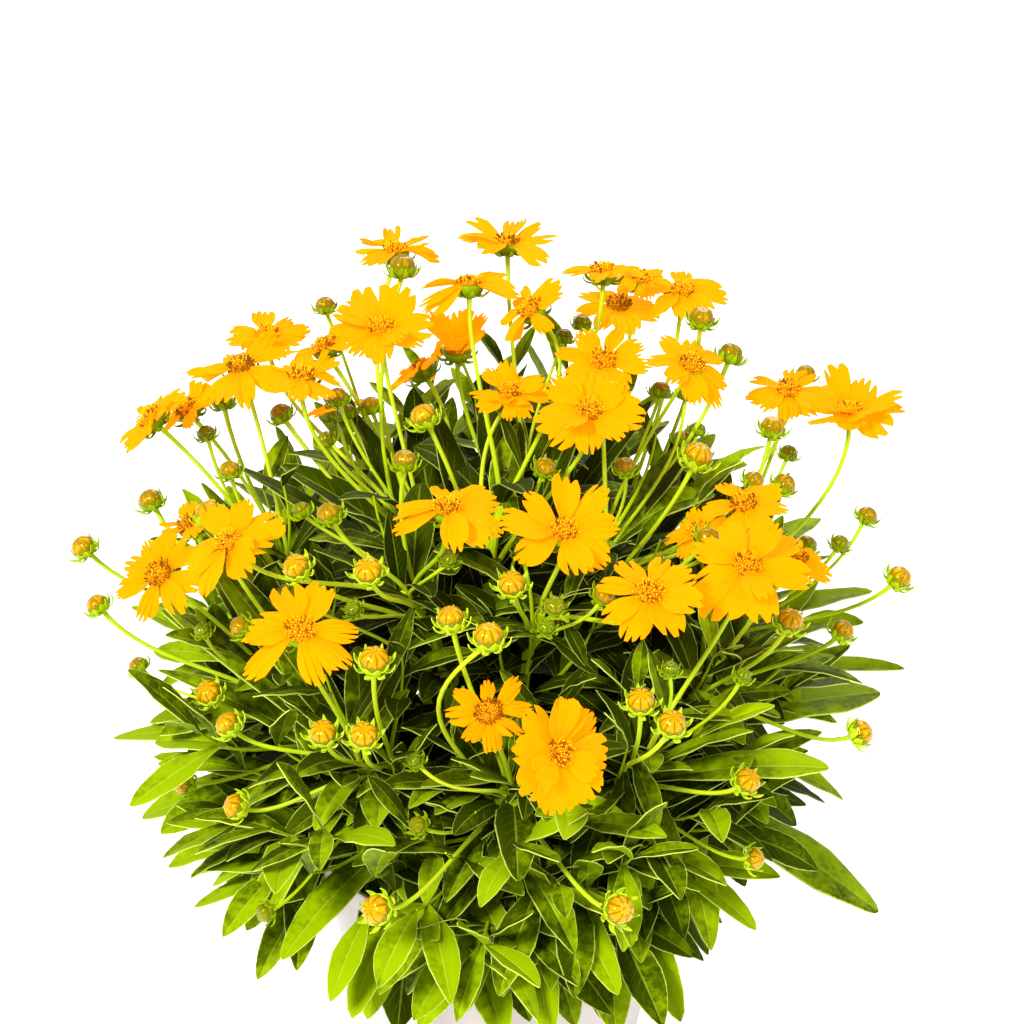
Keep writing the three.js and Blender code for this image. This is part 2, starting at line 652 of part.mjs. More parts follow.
// A bud faces between upright and the way its stalk comes.
function budFacing(shoot, bud) {
  const way = bud.at.clone().sub(shoot.stem.v3).normalize();
  return UP.clone().lerp(way, BUD_TURN).normalize();
}

place("pot", potSolid());
place("soil", soilSolid(shoots.map((shoot) => shoot.stem)));
for (const bloom of blooms) {
  bloom.solid = solidFrom(bloomSurface(bloom, headFrame(bloom.at, bloom.facing)));
  place(bloom.name, bloom.solid);
}
for (const shoot of shoots) {
  const stem = solidFrom(tube(shoot.stem, STEM.radius, STEM.sides, STEM.steps));
  if (crosses(stem, () => true)) throw new Error(`${shoot.name} crosses another body`);
  place(shoot.name, stem, true);
}

// Puts a head on the first shoot and the first bend of its stalk that cross nothing.
function growHead(head) {
  for (const mindsItsOwn of [true, false]) {
    for (const shoot of shootsFor(head).slice(0, SHOOT_CHOICES)) {
      const facing = head.facing ?? budFacing(shoot, head);
      const share = Math.max(STALK.lowest, STALK.highest - shoot.heads * STALK.spacing);
      const end = head.at.clone().addScaledVector(facing, -head.neck);
      for (const bend of STALK_BENDS) {
        const curve = stalkCurve(shoot.stem, share, end, facing, bend);
        const shape = (from, grow) => solidFrom(headedStalk(head, curve, facing, from, grow));
        if (fits(shoot.name, shape, mindsItsOwn)) {
          place(shoot.name, shape(0, 0));
          shoot.heads += 1;
          return;
        }
      }
    }
  }
  throw new Error(`no clear stalk for the head at ${head.at.toArray()}`);
}

// Puts the first of some bends of a leaf that fits, or none. leafAt(bend) is the bent leaf.
function growLeaf(shoot, bends, leafAt) {
  const shapeOf = (bend) => (from, grow) => solidFrom(leafSurface(leafAt(bend), from, grow));
  const bend = bends.find((bent) => fits(shoot.name, shapeOf(bent)));
  if (bend !== undefined) place(shoot.name, shapeOf(bend)(0, 0));
}

[...blooms, ...buds].forEach(growHead);
for (const [index, share, x, y, z, halfWidth, rise] of REACHING_LEAVES) {
  const tip = new THREE.Vector3(x, y, z);
  growLeaf(shoots[index], REACHING_LIFTS, (lift) => (
    reachingLeaf(shoots[index], share, tip, halfWidth, rise + lift)
  ));
}
for (const shoot of shoots) {
  const first = shoot.reach < LEAF.innerReach ? LEAF.innerFirst : 0;
  for (let pair = first; pair < LEAF.pairs; pair += 1) {
    for (const side of [0, 1]) {
      growLeaf(shoot, LEAF_BENDS, (bend) => pairedLeaf(shoot, pair, side, bend));
    }
  }
  LEAF.crownTurns.forEach((_, number) => {
    growLeaf(shoot, LEAF_BENDS, (bend) => crownLeaf(shoot, number, bend));
  });
}

// ---- The part -----------------------------------------------------------------------------

const MATERIALS = {
  pot: new THREE.MeshStandardMaterial({ color: 0xe4dcd6, roughness: 0.55, metalness: 0 }),
  soil: new THREE.MeshStandardMaterial({ color: 0x2e2119, roughness: 0.95, metalness: 0 }),
  shoot: new THREE.MeshStandardMaterial({ color: 0x4f7a1c, roughness: 0.5, metalness: 0 }),
  bloom: new THREE.MeshStandardMaterial({ color: 0xffc400, roughness: 0.6, metalness: 0 }),
};

function named(name, material, solid) {
  const mesh = new THREE.Mesh(geometryFrom(solid), material);
  mesh.name = name;
  return mesh;
}

// All the solids of a node as one body. A hollow sealed in it is filled, a loose scrap left off.
function joined(name) {
  const solids = placed.filter((piece) => piece.node === name).map((piece) => piece.solid);
  const whole = solids.reduce((sum, solid) => sum.add(solid)).simplify(SMOOTHING);
  const [body] = whole.decompose().sort((a, b) => b.volume() - a.volume());
  return body;
}

const coreopsis = new THREE.Group();
coreopsis.add(named("pot", MATERIALS.pot, joined("pot")));
coreopsis.add(named("soil", MATERIALS.soil, joined("soil")));
for (const shoot of shoots) coreopsis.add(named(shoot.name, MATERIALS.shoot, joined(shoot.name)));
for (const bloom of blooms) coreopsis.add(named(bloom.name, MATERIALS.bloom, bloom.solid));

export default coreopsis;
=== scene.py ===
"""A coreopsis in full flower in its nursery pot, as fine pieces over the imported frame.

Plant measures are in millimetres, in the row frame: +Z up, the front towards -Y. A bearing is an
angle in the plan, in degrees: 0 is the front, 90 the right. Every mesh carries a point attribute
called growth, which the finishes read: how far along a piece a point lies, how far across, and
the tone of its leaf, petal, floret or bud.
"""

import inspect
import logging
import math
from dataclasses import dataclass, field
from enum import Enum
from typing import Callable, Iterator, Optional, Sequence, Union

import bpy
import numpy as np
from mathutils.bvhtree import BVHTree
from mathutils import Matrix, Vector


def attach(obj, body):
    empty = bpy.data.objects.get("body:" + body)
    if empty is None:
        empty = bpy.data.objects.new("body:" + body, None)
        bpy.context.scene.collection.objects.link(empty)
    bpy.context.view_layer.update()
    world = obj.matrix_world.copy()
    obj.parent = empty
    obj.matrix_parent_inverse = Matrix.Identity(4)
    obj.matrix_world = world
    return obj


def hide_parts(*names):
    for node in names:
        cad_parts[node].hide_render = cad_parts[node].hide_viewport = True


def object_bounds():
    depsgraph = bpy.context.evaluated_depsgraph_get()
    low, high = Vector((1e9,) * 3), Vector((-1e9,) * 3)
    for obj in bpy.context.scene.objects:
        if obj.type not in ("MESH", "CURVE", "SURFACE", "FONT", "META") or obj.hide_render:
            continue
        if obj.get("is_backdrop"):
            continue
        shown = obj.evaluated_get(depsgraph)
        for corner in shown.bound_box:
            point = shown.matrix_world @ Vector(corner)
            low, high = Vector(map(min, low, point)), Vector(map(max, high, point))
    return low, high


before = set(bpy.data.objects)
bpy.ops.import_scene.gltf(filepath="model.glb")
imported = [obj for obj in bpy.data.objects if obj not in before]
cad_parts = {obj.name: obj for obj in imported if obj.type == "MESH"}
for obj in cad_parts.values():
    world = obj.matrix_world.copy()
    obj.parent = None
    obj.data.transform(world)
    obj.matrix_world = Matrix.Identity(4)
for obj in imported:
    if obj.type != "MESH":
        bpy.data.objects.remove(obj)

LOG = logging.getLogger("coreopsis")
MM = 0.001
UP = np.array([0.0, 0.0, 1.0])

# A direction that no stem or stalk runs in, to start the turns round them from.
SKEW = np.array([0.37, 0.61, 0.2])

# Rather more than a full turn in radians, for where a wave starts.
ROUND = 6.3

# The lobes of a bud, and the bracts round it.
LOBES = 8

# Where the plant is looked at from.
EYE = np.array([6.0, -777.0, 738.0])

Array = np.ndarray
Pair = tuple[float, float]
Floats = tuple[float, ...]
Colour = tuple[float, float, float]
Span = tuple[float, ...]
Profile = tuple[Pair, ...]
Socket = bpy.types.NodeSocket
Value = Union[float, Sequence[float], Socket, None]
Amount = Union[float, Array]

# ---- The plan of the plant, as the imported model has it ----

# Forks of the shoots: bearing, reach from the pot's axis, height.
SHOOTS = [
    (4, 98, 226), (38, 100, 222), (70, 98, 232), (104, 100, 228), (146, 96, 222), (184, 98, 224),
    (218, 96, 226), (254, 100, 230), (288, 100, 224), (322, 98, 226), (22, 50, 284), (92, 52, 290),
    (164, 48, 298), (236, 50, 292), (308, 52, 286), (150, 6, 316),
]

# Blooms: x, y, z of the disc; bearing and angle of the lean; radius; rise of the petals.
BLOOMS = [
    (-48, 90, 396, 180, 6, 22, 6), (4, 80, 404, 180, 6, 26, 8), (-13, 45, 398, 180, 16, 25, -12),
    (14, 35, 390, 290, 38, 21, 4), (47, 60, 398, 180, 8, 21, -4), (67, 112, 373, 90, 8, 19, 0),
    (55, 74, 375, 0, 12, 22, 4), (84, 75, 382, 0, 8, 21, 2), (-51, 25, 385, 0, 18, 25, 8),
    (-107, 70, 362, 0, 10, 21, 14), (-115, 35, 362, 300, 12, 29, 4), (-86, 15, 367, 60, 3, 20, 8),
    (-153, 10, 349, 280, 40, 21, 6), (-142, 40, 339, 290, 28, 18, 14),
    (-80, 60, 361, 270, 20, 17, 4), (-19, 55, 362, 0, 6, 16, 52), (-37, 70, 345, 230, 48, 20, 4),
    (-77, 75, 322, 200, 30, 17, 4), (5, 5, 363, 350, 20, 19, 16), (46, 20, 372, 0, 26, 22, 12),
    (39, -20, 367, 350, 26, 24, 4), (85, 25, 368, 30, 20, 21, -4), (133, 55, 341, 0, 15, 21, 10),
    (159, 35, 340, 350, 4, 28, 16), (-20, -70, 348, 0, 5, 26, -4), (27, -75, 340, 0, 22, 26, 10),
    (-140, -65, 314, 330, 38, 24, 6), (-109, -75, 335, 300, 30, 26, 2),
    (-133, -25, 316, 270, 24, 17, 10), (-77, -115, 318, 0, 24, 27, 2),
    (60, -105, 329, 0, 20, 23, 4), (104, -35, 331, 330, 16, 21, 8), (87, -25, 311, 300, 34, 17, 4),
    (101, -80, 327, 0, 24, 27, 2), (126, -45, 311, 60, 20, 18, 2),
    (-3, -125, 286, 350, 28, 19, 12), (24, -150, 285, 42, 58, 26, 4),
    (-60, 138, 228, 200, 30, 22, 4), (58, 140, 230, 170, 26, 23, 4), (0, 165, 200, 180, 44, 21, 4),
    (-104, 116, 218, 232, 34, 22, 6), (112, 114, 224, 128, 32, 23, 4),
]

# Buds: x, y, z of the middle; width of the globe.
BUDS = [
    (-186, 0, 289, 11), (-178, -20, 271, 10), (-158, 20, 302, 11), (-165, -10, 232, 9),
    (-123, -70, 258, 11), (-113, -85, 252, 11), (-139, -60, 203, 10), (-111, -95, 217, 11),
    (-69, -125, 276, 11), (-52, -135, 282, 11), (-48, -120, 307, 12), (-51, -95, 333, 11),
    (-81, -80, 326, 11), (-123, -35, 326, 11), (-129, 65, 330, 10), (-81, 85, 370, 9),
    (-32, 0, 354, 12), (-18, -110, 320, 11), (-3, -120, 318, 12), (6, -95, 327, 11),
    (-47, -165, 220, 12), (48, -165, 220, 12), (56, -135, 298, 11), (68, -140, 291, 11),
    (102, -115, 245, 11), (162, -40, 216, 12), (149, -45, 273, 10), (180, -5, 276, 11),
    (168, 20, 294, 9), (121, -75, 297, 11), (122, 20, 339, 11), (105, 50, 361, 11),
    (90, 40, 383, 11), (143, 70, 342, 9), (86, -10, 340, 13), (108, -110, 201, 9),
    (-43, 58, 400, 12), (-100, 130, 240, 11), (25, 160, 262, 11), (90, 140, 240, 10),
    (150, 70, 250, 10),
]

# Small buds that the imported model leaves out: x, y, z, width.
YOUNG_BUDS = [
    (-132, 30, 331, 8), (-22, 75, 363, 9), (20, -95, 307, 7), (-32, -130, 234, 8),
    (-99, -115, 176, 8), (153, 0, 291, 8), (111, -10, 328, 9), (38, 60, 372, 8), (30, 70, 361, 8),
    (55, -10, 335, 9), (20, -20, 340, 9), (74, 50, 343, 9), (88, -50, 322, 10), (101, -90, 280, 7),
    (43, -90, 319, 9), (-70, -50, 334, 10), (-39, -35, 351, 10), (-99, 40, 336, 10),
    (-71, 20, 354, 9), (23, -105, 323, 8), (-33, -120, 259, 7), (126, 0, 321, 10),
    (-118, 0, 328, 9), (-60, -70, 300, 7), (70, -100, 290, 7), (-20, -60, 318, 7),
    (10, -60, 322, 7), (84, 40, 323, 9), (91, 40, 328, 7), (133, 40, 316, 8), (85, 40, 346, 8),
    (-58, 40, 340, 9), (-69, 40, 337, 8), (-78, 30, 328, 8), (-85, -20, 319, 8),
    (-89, -60, 302, 7), (-125, -60, 283, 7), (-109, -60, 285, 9),
]

# Leaves that reach out of the bush: shoot, share of the stem, tip x, y, z, half width, rise.
REACHING_LEAVES = [
    (8, 0.42, -169, -20, 153, 13, 20), (8, 0.62, -183, 0, 185, 8, 16),
    (9, 0.5, -158, -30, 196, 8, 14), (9, 0.3, -140, -62, 153, 8, 16),
    (9, 0.2, -139, -66, 138, 7, 20), (3, 0.7, 193, 20, 211, 7, 8), (3, 0.9, 176, 30, 248, 7, 10),
    (2, 0.72, 178, 0, 211, 15, 6), (1, 0.88, 139, -95, 237, 11, 8),
    (2, 0.4, 175, -60, 130, 16, 22), (1, 0.4, 111, -112, 164, 8, 20),
    (0, 0.16, 22, -152, 140, 9, 26), (0, 0.3, -14, -150, 152, 9, 24),
    (9, 0.14, -62, -138, 138, 10, 26), (9, 0.34, -92, -124, 158, 9, 20),
    (1, 0.14, 78, -136, 134, 10, 26), (0, 0.42, 50, -150, 162, 9, 20),
    (4, 0.16, 84, 130, 140, 10, 24), (5, 0.16, 4, 154, 142, 9, 24),
    (6, 0.16, -80, 134, 140, 10, 24), (5, 0.5, 10, 165, 205, 9, 14),
    (5, 0.72, -30, 158, 240, 8, 10), (4, 0.5, 110, 122, 200, 9, 14),
    (4, 0.72, 75, 150, 236, 8, 10), (6, 0.5, -112, 120, 200, 9, 14),
    (6, 0.72, -85, 142, 238, 8, 10),
]

# More leaves that reach out of the bush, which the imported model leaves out.
SIDE_LEAVES = [
    (9, 0.8, -146, -30, 276, 12, 12), (8, 0.8, -152, -10, 262, 10, 10),
    (9, 0.7, -150, -40, 250, 10, 10), (8, 0.95, -140, 10, 300, 9, 8),
    (7, 0.95, -136, 30, 306, 9, 8), (13, 0.7, -122, 20, 322, 9, 8),
    (9, 0.95, -128, -20, 300, 9, 6), (2, 0.95, 128, 10, 300, 9, 8), (3, 0.95, 134, 40, 306, 9, 8),
    (11, 0.7, 112, 30, 322, 9, 8), (15, 0.6, 40, 30, 350, 9, 6), (15, 0.6, -30, 20, 352, 9, 6),
    (12, 0.7, 70, 50, 338, 9, 6), (13, 0.7, -70, 50, 336, 9, 6), (8, 0.9, -118, 10, 286, 11, 10),
    (9, 0.9, -112, -25, 272, 11, 12), (8, 0.7, -138, -5, 246, 11, 10),
    (7, 0.8, -126, 40, 284, 10, 10), (7, 0.9, -100, 60, 300, 10, 8), (6, 0.9, -80, 96, 286, 11, 8),
    (5, 0.9, -20, 104, 296, 11, 8), (12, 0.5, 20, 80, 318, 10, 6), (13, 0.5, -40, 66, 330, 10, 6),
    (4, 0.9, 60, 100, 292, 11, 8), (3, 0.9, 104, 62, 296, 10, 8), (12, 0.9, -10, 70, 334, 9, 6),
    (15, 0.3, 6, 60, 330, 10, 6), (13, 0.8, -100, 36, 312, 10, 8), (11, 0.9, 92, 44, 326, 9, 6),
    (6, 0.7, -112, 84, 256, 11, 8), (5, 0.7, -40, 128, 262, 11, 8), (6, 0.6, -60, 120, 262, 10, 8),
]

LEAF_BENDS = [(0, 0), (14, 8), (-14, 8), (28, -8), (-28, -8), (0, 20), (44, 12), (-44, 12)]
REACHING_LIFTS = [0, 8, -8, 16, 26, 38]
STALK_BENDS = [0, 9, -9, 18, -18, 28, -28, 40, -40]


@dataclass(frozen=True)
class StemPlan:
    """How stems rise and how stalks leave them."""

    radius: float = 2.7
    foot_height: float = 123
    foot_reach: float = 5
    foot_share: float = 0.42
    foot_pull: float = 0.45
    fork_pull: float = 0.3
    fork_lean: float = 35
    stalk_radius: float = 0.95
    stalk_spacing: float = 0.075
    stalk_highest: float = 0.96
    stalk_lowest: float = 0.36
    upright_share: float = 0.4
    start_pull: float = 0.36
    end_pull: float = 0.34
    start_bend: float = 0.7
    bloom_neck: float = 6
    bud_neck: float = 3
    bud_turn: float = 0.55
    head_spread: float = 0.62
    choices: int = 4
    long_stalk: float = 180
    stalk_off: float = 2.5


@dataclass(frozen=True)
class LeafPlan:
    """How the pairs of leaves stand on a stem."""

    first_pair: float = 0.15
    pair_step: float = 0.2
    pairs: int = 5
    inner_reach: float = 60
    inner_first: int = 2
    turns: float = 45
    turn_spread: float = 16
    low_length: float = 86
    top_length: float = 58
    length_spread: float = 0.16
    width_share: float = 0.12
    width_spread: float = 0.16
    low_rise: float = 34
    top_rise: float = 58
    rise_spread: float = 10
    low_tip_rise: float = -28
    top_tip_rise: float = 14
    tip_spread: float = 14
    roll_spread: float = 34
    belly: float = 0.54
    long_belly: float = 0.64
    slender: float = 1.2
    blunt: float = 0.52
    pointed: float = 0.7
    crown_share: float = 0.9
    crown_turns: Floats = (0, 74, -74)
    crown_lift: float = -22
    reaching_tone: float = 0.85
    reaching_looks: Floats = (0.22, 0.5, 0.8, 1.0)
    stem_looks: Floats = (0.27, 0.66, 1.0)
    off: float = 0.8
    seed: int = 1000
    seeds_per_shoot: int = 40


@dataclass(frozen=True)
class BudPlan:
    """How ripe the buds are: a bud's tone is 0 where it is gold, 1 where olive, 2 where green."""

    seed: int = 77
    oldest: float = 0.95
    front: float = -70
    depth: float = 110
    spread: float = 0.2
    usual: float = 11
    size_share: float = 0.25
    young_tones: Pair = (2.0, 0.9)
    young_sizes: Pair = (7, 2)

    def tone(self, y: float, size: float, draw: "Draws") -> float:
        """Returns the tone of a bud: more olive the further back and the smaller it is."""
        own = (y - self.front) / self.depth + draw.either(self.spread)
        return min(self.oldest, max(0.0, own - (size - self.usual) * self.size_share))

    def young_tone(self, size: float) -> float:
        """Returns the tone of a young bud, greener the smaller it is."""
        smallest, reach = self.young_sizes
        return lerp(*self.young_tones, min(1.0, max(0.0, (size - smallest) / reach)))


@dataclass(frozen=True)
class SmallPlan:
    """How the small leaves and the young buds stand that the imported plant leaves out."""

    seed: int = 4242
    young_shares: Pair = (0.45, 0.95)
    young_bend: float = 14
    side_tone: float = 0.2
    side_tones: float = 0.4
    side_roll: float = 20
    bare_from: float = 0.42
    bare_steps: int = 10
    leaf_looks: Pair = (0.25, 1)
    leaf_steps: int = 7
    bloom_room: float = 0.95
    bud_room: float = 3
    stalk_offs: Floats = (0, 9, 18, 27, 36)
    stalk_room: float = 0.8
    rim_offs: Floats = tuple(range(0, 110, 6))
    rim_room: float = 3
    on_stem: int = 10
    stem_shares: Pair = (0.1, 1.0)
    stem_step: float = 137.5
    stem_turn: float = 20
    stem_lengths: Pair = (66, 42)
    stem_spread: float = 0.2
    stem_rises: Pair = (20, 62)
    long_stalk: float = 80
    long_pairs: Floats = (0.12, 0.28)
    short_pairs: Floats = (0.2,)
    pair_spread: Pair = (0.8, 1.2)
    pair_lengths: Pair = (34, 52)
    pair_angle: float = 52
    pair_turn: float = 12
    sags: Pair = (0.15, 0.75)
    widths: Pair = (0.12, 0.185)
    belly: float = 0.53
    roll: float = 30


@dataclass(frozen=True)
class DomePlan:
    """The dome that the tips of the leafy side branches fill."""

    seed: int = 808
    branches: int = 134
    turn: float = 137.508
    turn_spread: float = 12
    leans: Pair = (78, 4)
    lean_power: float = 0.8
    reach: float = 150
    reach_spread: float = 0.08
    fullness: float = 0.6
    foot: float = 158
    rise: float = 172
    rise_spread: float = 10
    backward: float = 50
    shoot_share: float = 0.8
    root_shares: Pair = (0.06, 0.95)
    root_steps: int = 30
    drops: Pair = (22, 80)
    pull: float = 0.38
    nodes: Floats = (0.3, 0.5, 0.7, 0.86, 1.0)
    openings: Pair = (72, 30)
    opening_spread: float = 12
    leaf_turn: float = 14
    length_spread: float = 0.22
    foot_leaves: Pair = (66, 48)
    tip_leaves: Pair = (48, 26)
    foot_reach: float = 0.7
    foot_share: float = 0.42
    slim_right: float = 0.09
    hollow: float = 0.4
    crest: float = 0.1
    # The painted shade of the leaves: their tone deep in the bush (dark) and at its edge (light),
    # how far a leaf's own tone spreads it, and how height and reach set how far out a point lies.
    dark: float = -0.8
    light: float = 0.28
    spread: float = 0.95
    upright: float = 0.35
    outside: float = 0.95
    # Painted light and shade on the right of the bush: tone added above lit_foot and taken away
    # below it, over lit_rise.
    lit: float = 0.42
    lit_foot: float = 285
    lit_rise: float = 90

    def height(self, high: float, bearing: float) -> float:
        """Returns how high the dome stands: lower in front, where stalks are bare, than behind.

        Args:
            high: how high in the dome, from 0 to 1.
            bearing: in degrees.

        Returns:
            The height in millimetres.
        """
        facing = math.cos(math.radians(bearing))
        share = 1 - self.hollow * facing if facing > 0 else 1 - self.crest * facing
        return self.foot + self.rise * high * share

    def tip(self, high: float, bearing: float, draw: "Draws") -> Array:
        """Returns where the tip of a branch lies.

        Args:
            high: how high in the dome, from 0 to 1.
            bearing: where round the dome.
            draw: where the variations are drawn from.

        Returns:
            The point in millimetres.
        """
        reach = self.reach * math.sqrt(1 - high * high) ** self.fullness
        reach *= 1 + draw.either(self.reach_spread)
        reach *= lerp(self.foot_reach, 1.0, min(1.0, high / self.foot_share))
        reach *= 1 - self.slim_right * max(0.0, math.sin(math.radians(bearing)))
        height = self.height(high, bearing) + draw.either(self.rise_spread)
        return outward(bearing) * reach + UP * height

    def root_share(self, shoot: "Shoot", height: float) -> float:
        """Returns how far up the stem of a shoot a branch leaves it, nearest to a height.

        Args:
            shoot: the shoot.
            height: in millimetres.

        Returns:
            The share of the stem, from 0 to 1.
        """
        heights = shoot.stem.at(np.linspace(*self.root_shares, self.root_steps))[:, 2]
        nearest = int(np.abs(heights - height).argmin())
        return lerp(*self.root_shares, nearest / (self.root_steps - 1))

    def tone(self, points: Array, own: float) -> Array:
        """Returns the tone of some points of a leaf, with painted shade: deeper in the bush and on
        its top, darker.

        Args:
            points: in millimetres.
            own: the leaf's own tone, from 0 to 1.

        Returns:
            One tone for each.
        """
        level = np.hypot(points[..., 0], points[..., 1]) / self.reach
        upright = self.upright * np.maximum((points[..., 2] - self.foot) / self.rise, 0)
        outer = np.clip(np.hypot(level, upright) / self.outside, 0, 1) ** 2
        right = np.maximum(points[..., 0], 0) / self.reach
        # On the right, painted light high up and painted shade low down.
        high = np.clip((points[..., 2] - self.lit_foot) / self.lit_rise, -1, 1)
        shade = self.dark + (self.light - self.dark) * outer
        return own * self.spread + shade + self.lit * right * high


STEM = StemPlan()
LEAF = LeafPlan()
BUD = BudPlan()
SMALL = SmallPlan()
DOME = DomePlan()


# ---- Numbers, directions and curves ----


class Draws:
    """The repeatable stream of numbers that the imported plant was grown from."""

    MASK = 0xFFFFFFFF

    def __init__(self, seed: int) -> None:
        """Starts the stream from its seed."""
        self.state = seed & self.MASK

    def next(self) -> float:
        """Returns the next number from 0 to 1.

        Returns:
            The number.
        """
        self.state = (self.state + 0x6D2B79F5) & self.MASK
        mixed = self.state
        mixed = ((mixed ^ (mixed >> 15)) * (mixed | 1)) & self.MASK
        mixed ^= (mixed + ((mixed ^ (mixed >> 7)) * (mixed | 61) & self.MASK)) & self.MASK
        return (mixed ^ (mixed >> 14)) / 4294967296

    def either(self, spread: float) -> float:
        """Returns a number within spread of zero, either way."""
        return (self.next() * 2 - 1) * spread

    def between(self, low: float, high: float) -> float:
        """Returns a number from low to high."""
        return lerp(low, high, self.next())


def lerp(low: float, high: float, share: Amount) -> Amount:
    """Returns the number at a share of the way from low to high."""
    return low + (high - low) * share


def unit(vector: Array) -> Array:
    """Returns a vector, or each of many, at length one."""
    return vector / np.maximum(np.linalg.norm(vector, axis=-1, keepdims=True), 1e-9)


def outward(bearing: float) -> Array:
    """Returns the level direction at a bearing."""
    return np.array([math.sin(math.radians(bearing)), -math.cos(math.radians(bearing)), 0.0])


def sideways(bearing: float) -> Array:
    """Returns the level direction square to a bearing."""
    return outward(bearing + 90)


def leaning(bearing: float, angle: float) -> Array:
    """Returns the direction that leans from upright by an angle, towards a bearing."""
    turn = math.radians(angle)
    return outward(bearing) * math.sin(turn) + UP * math.cos(turn)


def bearing_of(vector: Array) -> float:
    """Returns the bearing of a vector, in degrees."""
    return math.degrees(math.atan2(vector[0], -vector[1]))


def circle(first: Array, second: Array, sides: int) -> Array:
    """Returns the points of a circle of radius one, from one direction towards another."""
    angles = np.linspace(0, 2 * math.pi, sides, endpoint=False)
    return np.cos(angles)[:, None] * first + np.sin(angles)[:, None] * second


def spun(points: Array, angle: float) -> Array:
    """Returns points turned round +Z by an angle in radians."""
    cos, sin = math.cos(angle), math.sin(angle)
    return points @ np.array([[cos, sin, 0], [-sin, cos, 0], [0, 0, 1]])


@dataclass(frozen=True)
class Curve:
    """A Bezier curve of three or four control points."""

    controls: tuple[Array, ...]

    def at(self, shares: Union[float, Array]) -> Array:
        """Returns the points at some values of the curve's own parameter.

        Args:
            shares: the values, from 0 to 1.

        Returns:
            One point for each.
        """
        order = len(self.controls) - 1
        t = np.asarray(shares, dtype=float)[..., None]
        terms = (
            math.comb(order, k) * t**k * (1 - t) ** (order - k) * point
            for k, point in enumerate(self.controls)
        )
        return sum(terms)

    def tangent(self, shares: Union[float, Array]) -> Array:
        """Returns the directions at some values of the curve's own parameter."""
        slope = Curve(tuple(np.diff(np.array(self.controls), axis=0)))
        return unit(slope.at(shares))

    def length(self) -> float:
        """Returns the length of the curve."""
        points = self.at(np.linspace(0, 1, 101))
        return float(np.linalg.norm(np.diff(points, axis=0), axis=1).sum())

    def even(self, shares: Array) -> Array:
        """Returns the parameters that lie at some shares of the curve's length.

        Args:
            shares: from 0 to 1.

        Returns:
            One value for each.
        """
        fine = np.linspace(0, 1, 201)
        steps = np.linalg.norm(np.diff(self.at(fine), axis=0), axis=1)
        run = np.concatenate([[0], np.cumsum(steps)])
        return np.interp(np.asarray(shares) * run[-1], run, fine)


@dataclass(frozen=True)
class Place:
    """A place with its own directions, where +Z faces away from what carries it."""

    at: Array
    level: Array
    third: Array
    facing: Array

    @classmethod
    def facing_to(cls, at: Array, facing: Array) -> "Place":
        """Returns the place at a point that faces a direction, with its X level."""
        level = sideways(bearing_of(facing))
        return cls(at, level, np.cross(facing, level), facing)

    def world(self, points: Array) -> Array:
        """Returns points of this place in the row frame."""
        turn = np.stack([self.level, self.third, self.facing])
        return points @ turn + self.at


# ---- Meshes ----


@dataclass
class Tissue:
    """Points, faces and growth values gathered for one piece."""

    points: list[Array] = field(default_factory=list)
    growth: list[Array] = field(default_factory=list)
    faces: list[tuple[Array, int]] = field(default_factory=list)
    total: int = 0

    def add(
        self, points: Array, growth: Array, faces: Sequence[Array], slot: int = 0
    ) -> None:
        """Adds a surface.

        Args:
            points: N by 3, in millimetres.
            growth: N by 3, along, across and tone.
            faces: arrays of point indices, each of faces with as many corners.
            slot: which of the piece's finishes they take.
        """
        for group in faces:
            self.faces.append((group + self.total, slot))
        self.points.append(points.reshape(-1, 3))
        self.growth.append(growth.reshape(-1, 3))
        self.total += self.points[-1].shape[0]

    def piece(self, name: str, finishes: Sequence["Finish"], crease: float = 50
              ) -> bpy.types.Object:
        """Builds the gathered surfaces as one object.

        Args:
            name: the name of the object.
            finishes: one for each slot.
            crease: angle in degrees over which an edge stays sharp.

        Returns:
            The new object, linked to the scene.
        """
        points = np.concatenate(self.points) * MM
        corners = np.concatenate([group.ravel() for group, _ in self.faces])
        sizes = np.concatenate([np.full(len(group), group.shape[1]) for group, _ in self.faces])
        slots = np.concatenate([np.full(len(group), slot) for group, slot in self.faces])
        mesh = bpy.data.meshes.new(name)
        mesh.vertices.add(len(points))
        mesh.vertices.foreach_set("co", points.ravel())
        mesh.loops.add(len(corners))
        mesh.loops.foreach_set("vertex_index", corners.astype(np.int32))
        mesh.polygons.add(len(sizes))
        starts = np.concatenate([[0], np.cumsum(sizes)[:-1]])
        mesh.polygons.foreach_set("loop_start", starts.astype(np.int32))
        mesh.polygons.foreach_set("material_index", slots.astype(np.int32))
        mesh.update(calc_edges=True)
        growth = mesh.attributes.new("growth", "FLOAT_VECTOR", "POINT")
        growth.data.foreach_set("vector", np.concatenate(self.growth).ravel())
        mesh.shade_smooth()
        mesh.set_sharp_from_angle(angle=math.radians(crease))
        for finish in finishes:
            mesh.materials.append(finish.material())
        made = bpy.data.objects.new(name, mesh)
        bpy.context.scene.collection.objects.link(made)
        return made


def grid_faces(rows: int, columns: int, wraps: bool = False) -> Array:
    """Returns the four-cornered faces of a grid of points, whose columns may wrap round.

    Args:
        rows: how many rows.
        columns: how many columns.
        wraps: whether the last column joins the first.

    Returns:
        One row of four indices for each face.
    """
    index = np.arange(rows * columns).reshape(rows, columns)
    if wraps:
        index = np.concatenate([index, index[:, :1]], axis=1)
    corners = [index[:-1, :-1], index[:-1, 1:], index[1:, 1:], index[1:, :-1]]
    return np.stack(corners, axis=-1).reshape(-1, 4)


def growth_of(points: Array, along: Amount, across: Amount, tone: Amount) -> Array:
    """Returns the growth values of points, of which each may be one number for them all.

    Args:
        points: the points.
        along: along the piece.
        across: across it.
        tone: its tone.

    Returns:
        As many rows of three.
    """
    growth = np.empty(points.shape)
    growth[..., 0], growth[..., 1], growth[..., 2] = along, across, tone
    return growth


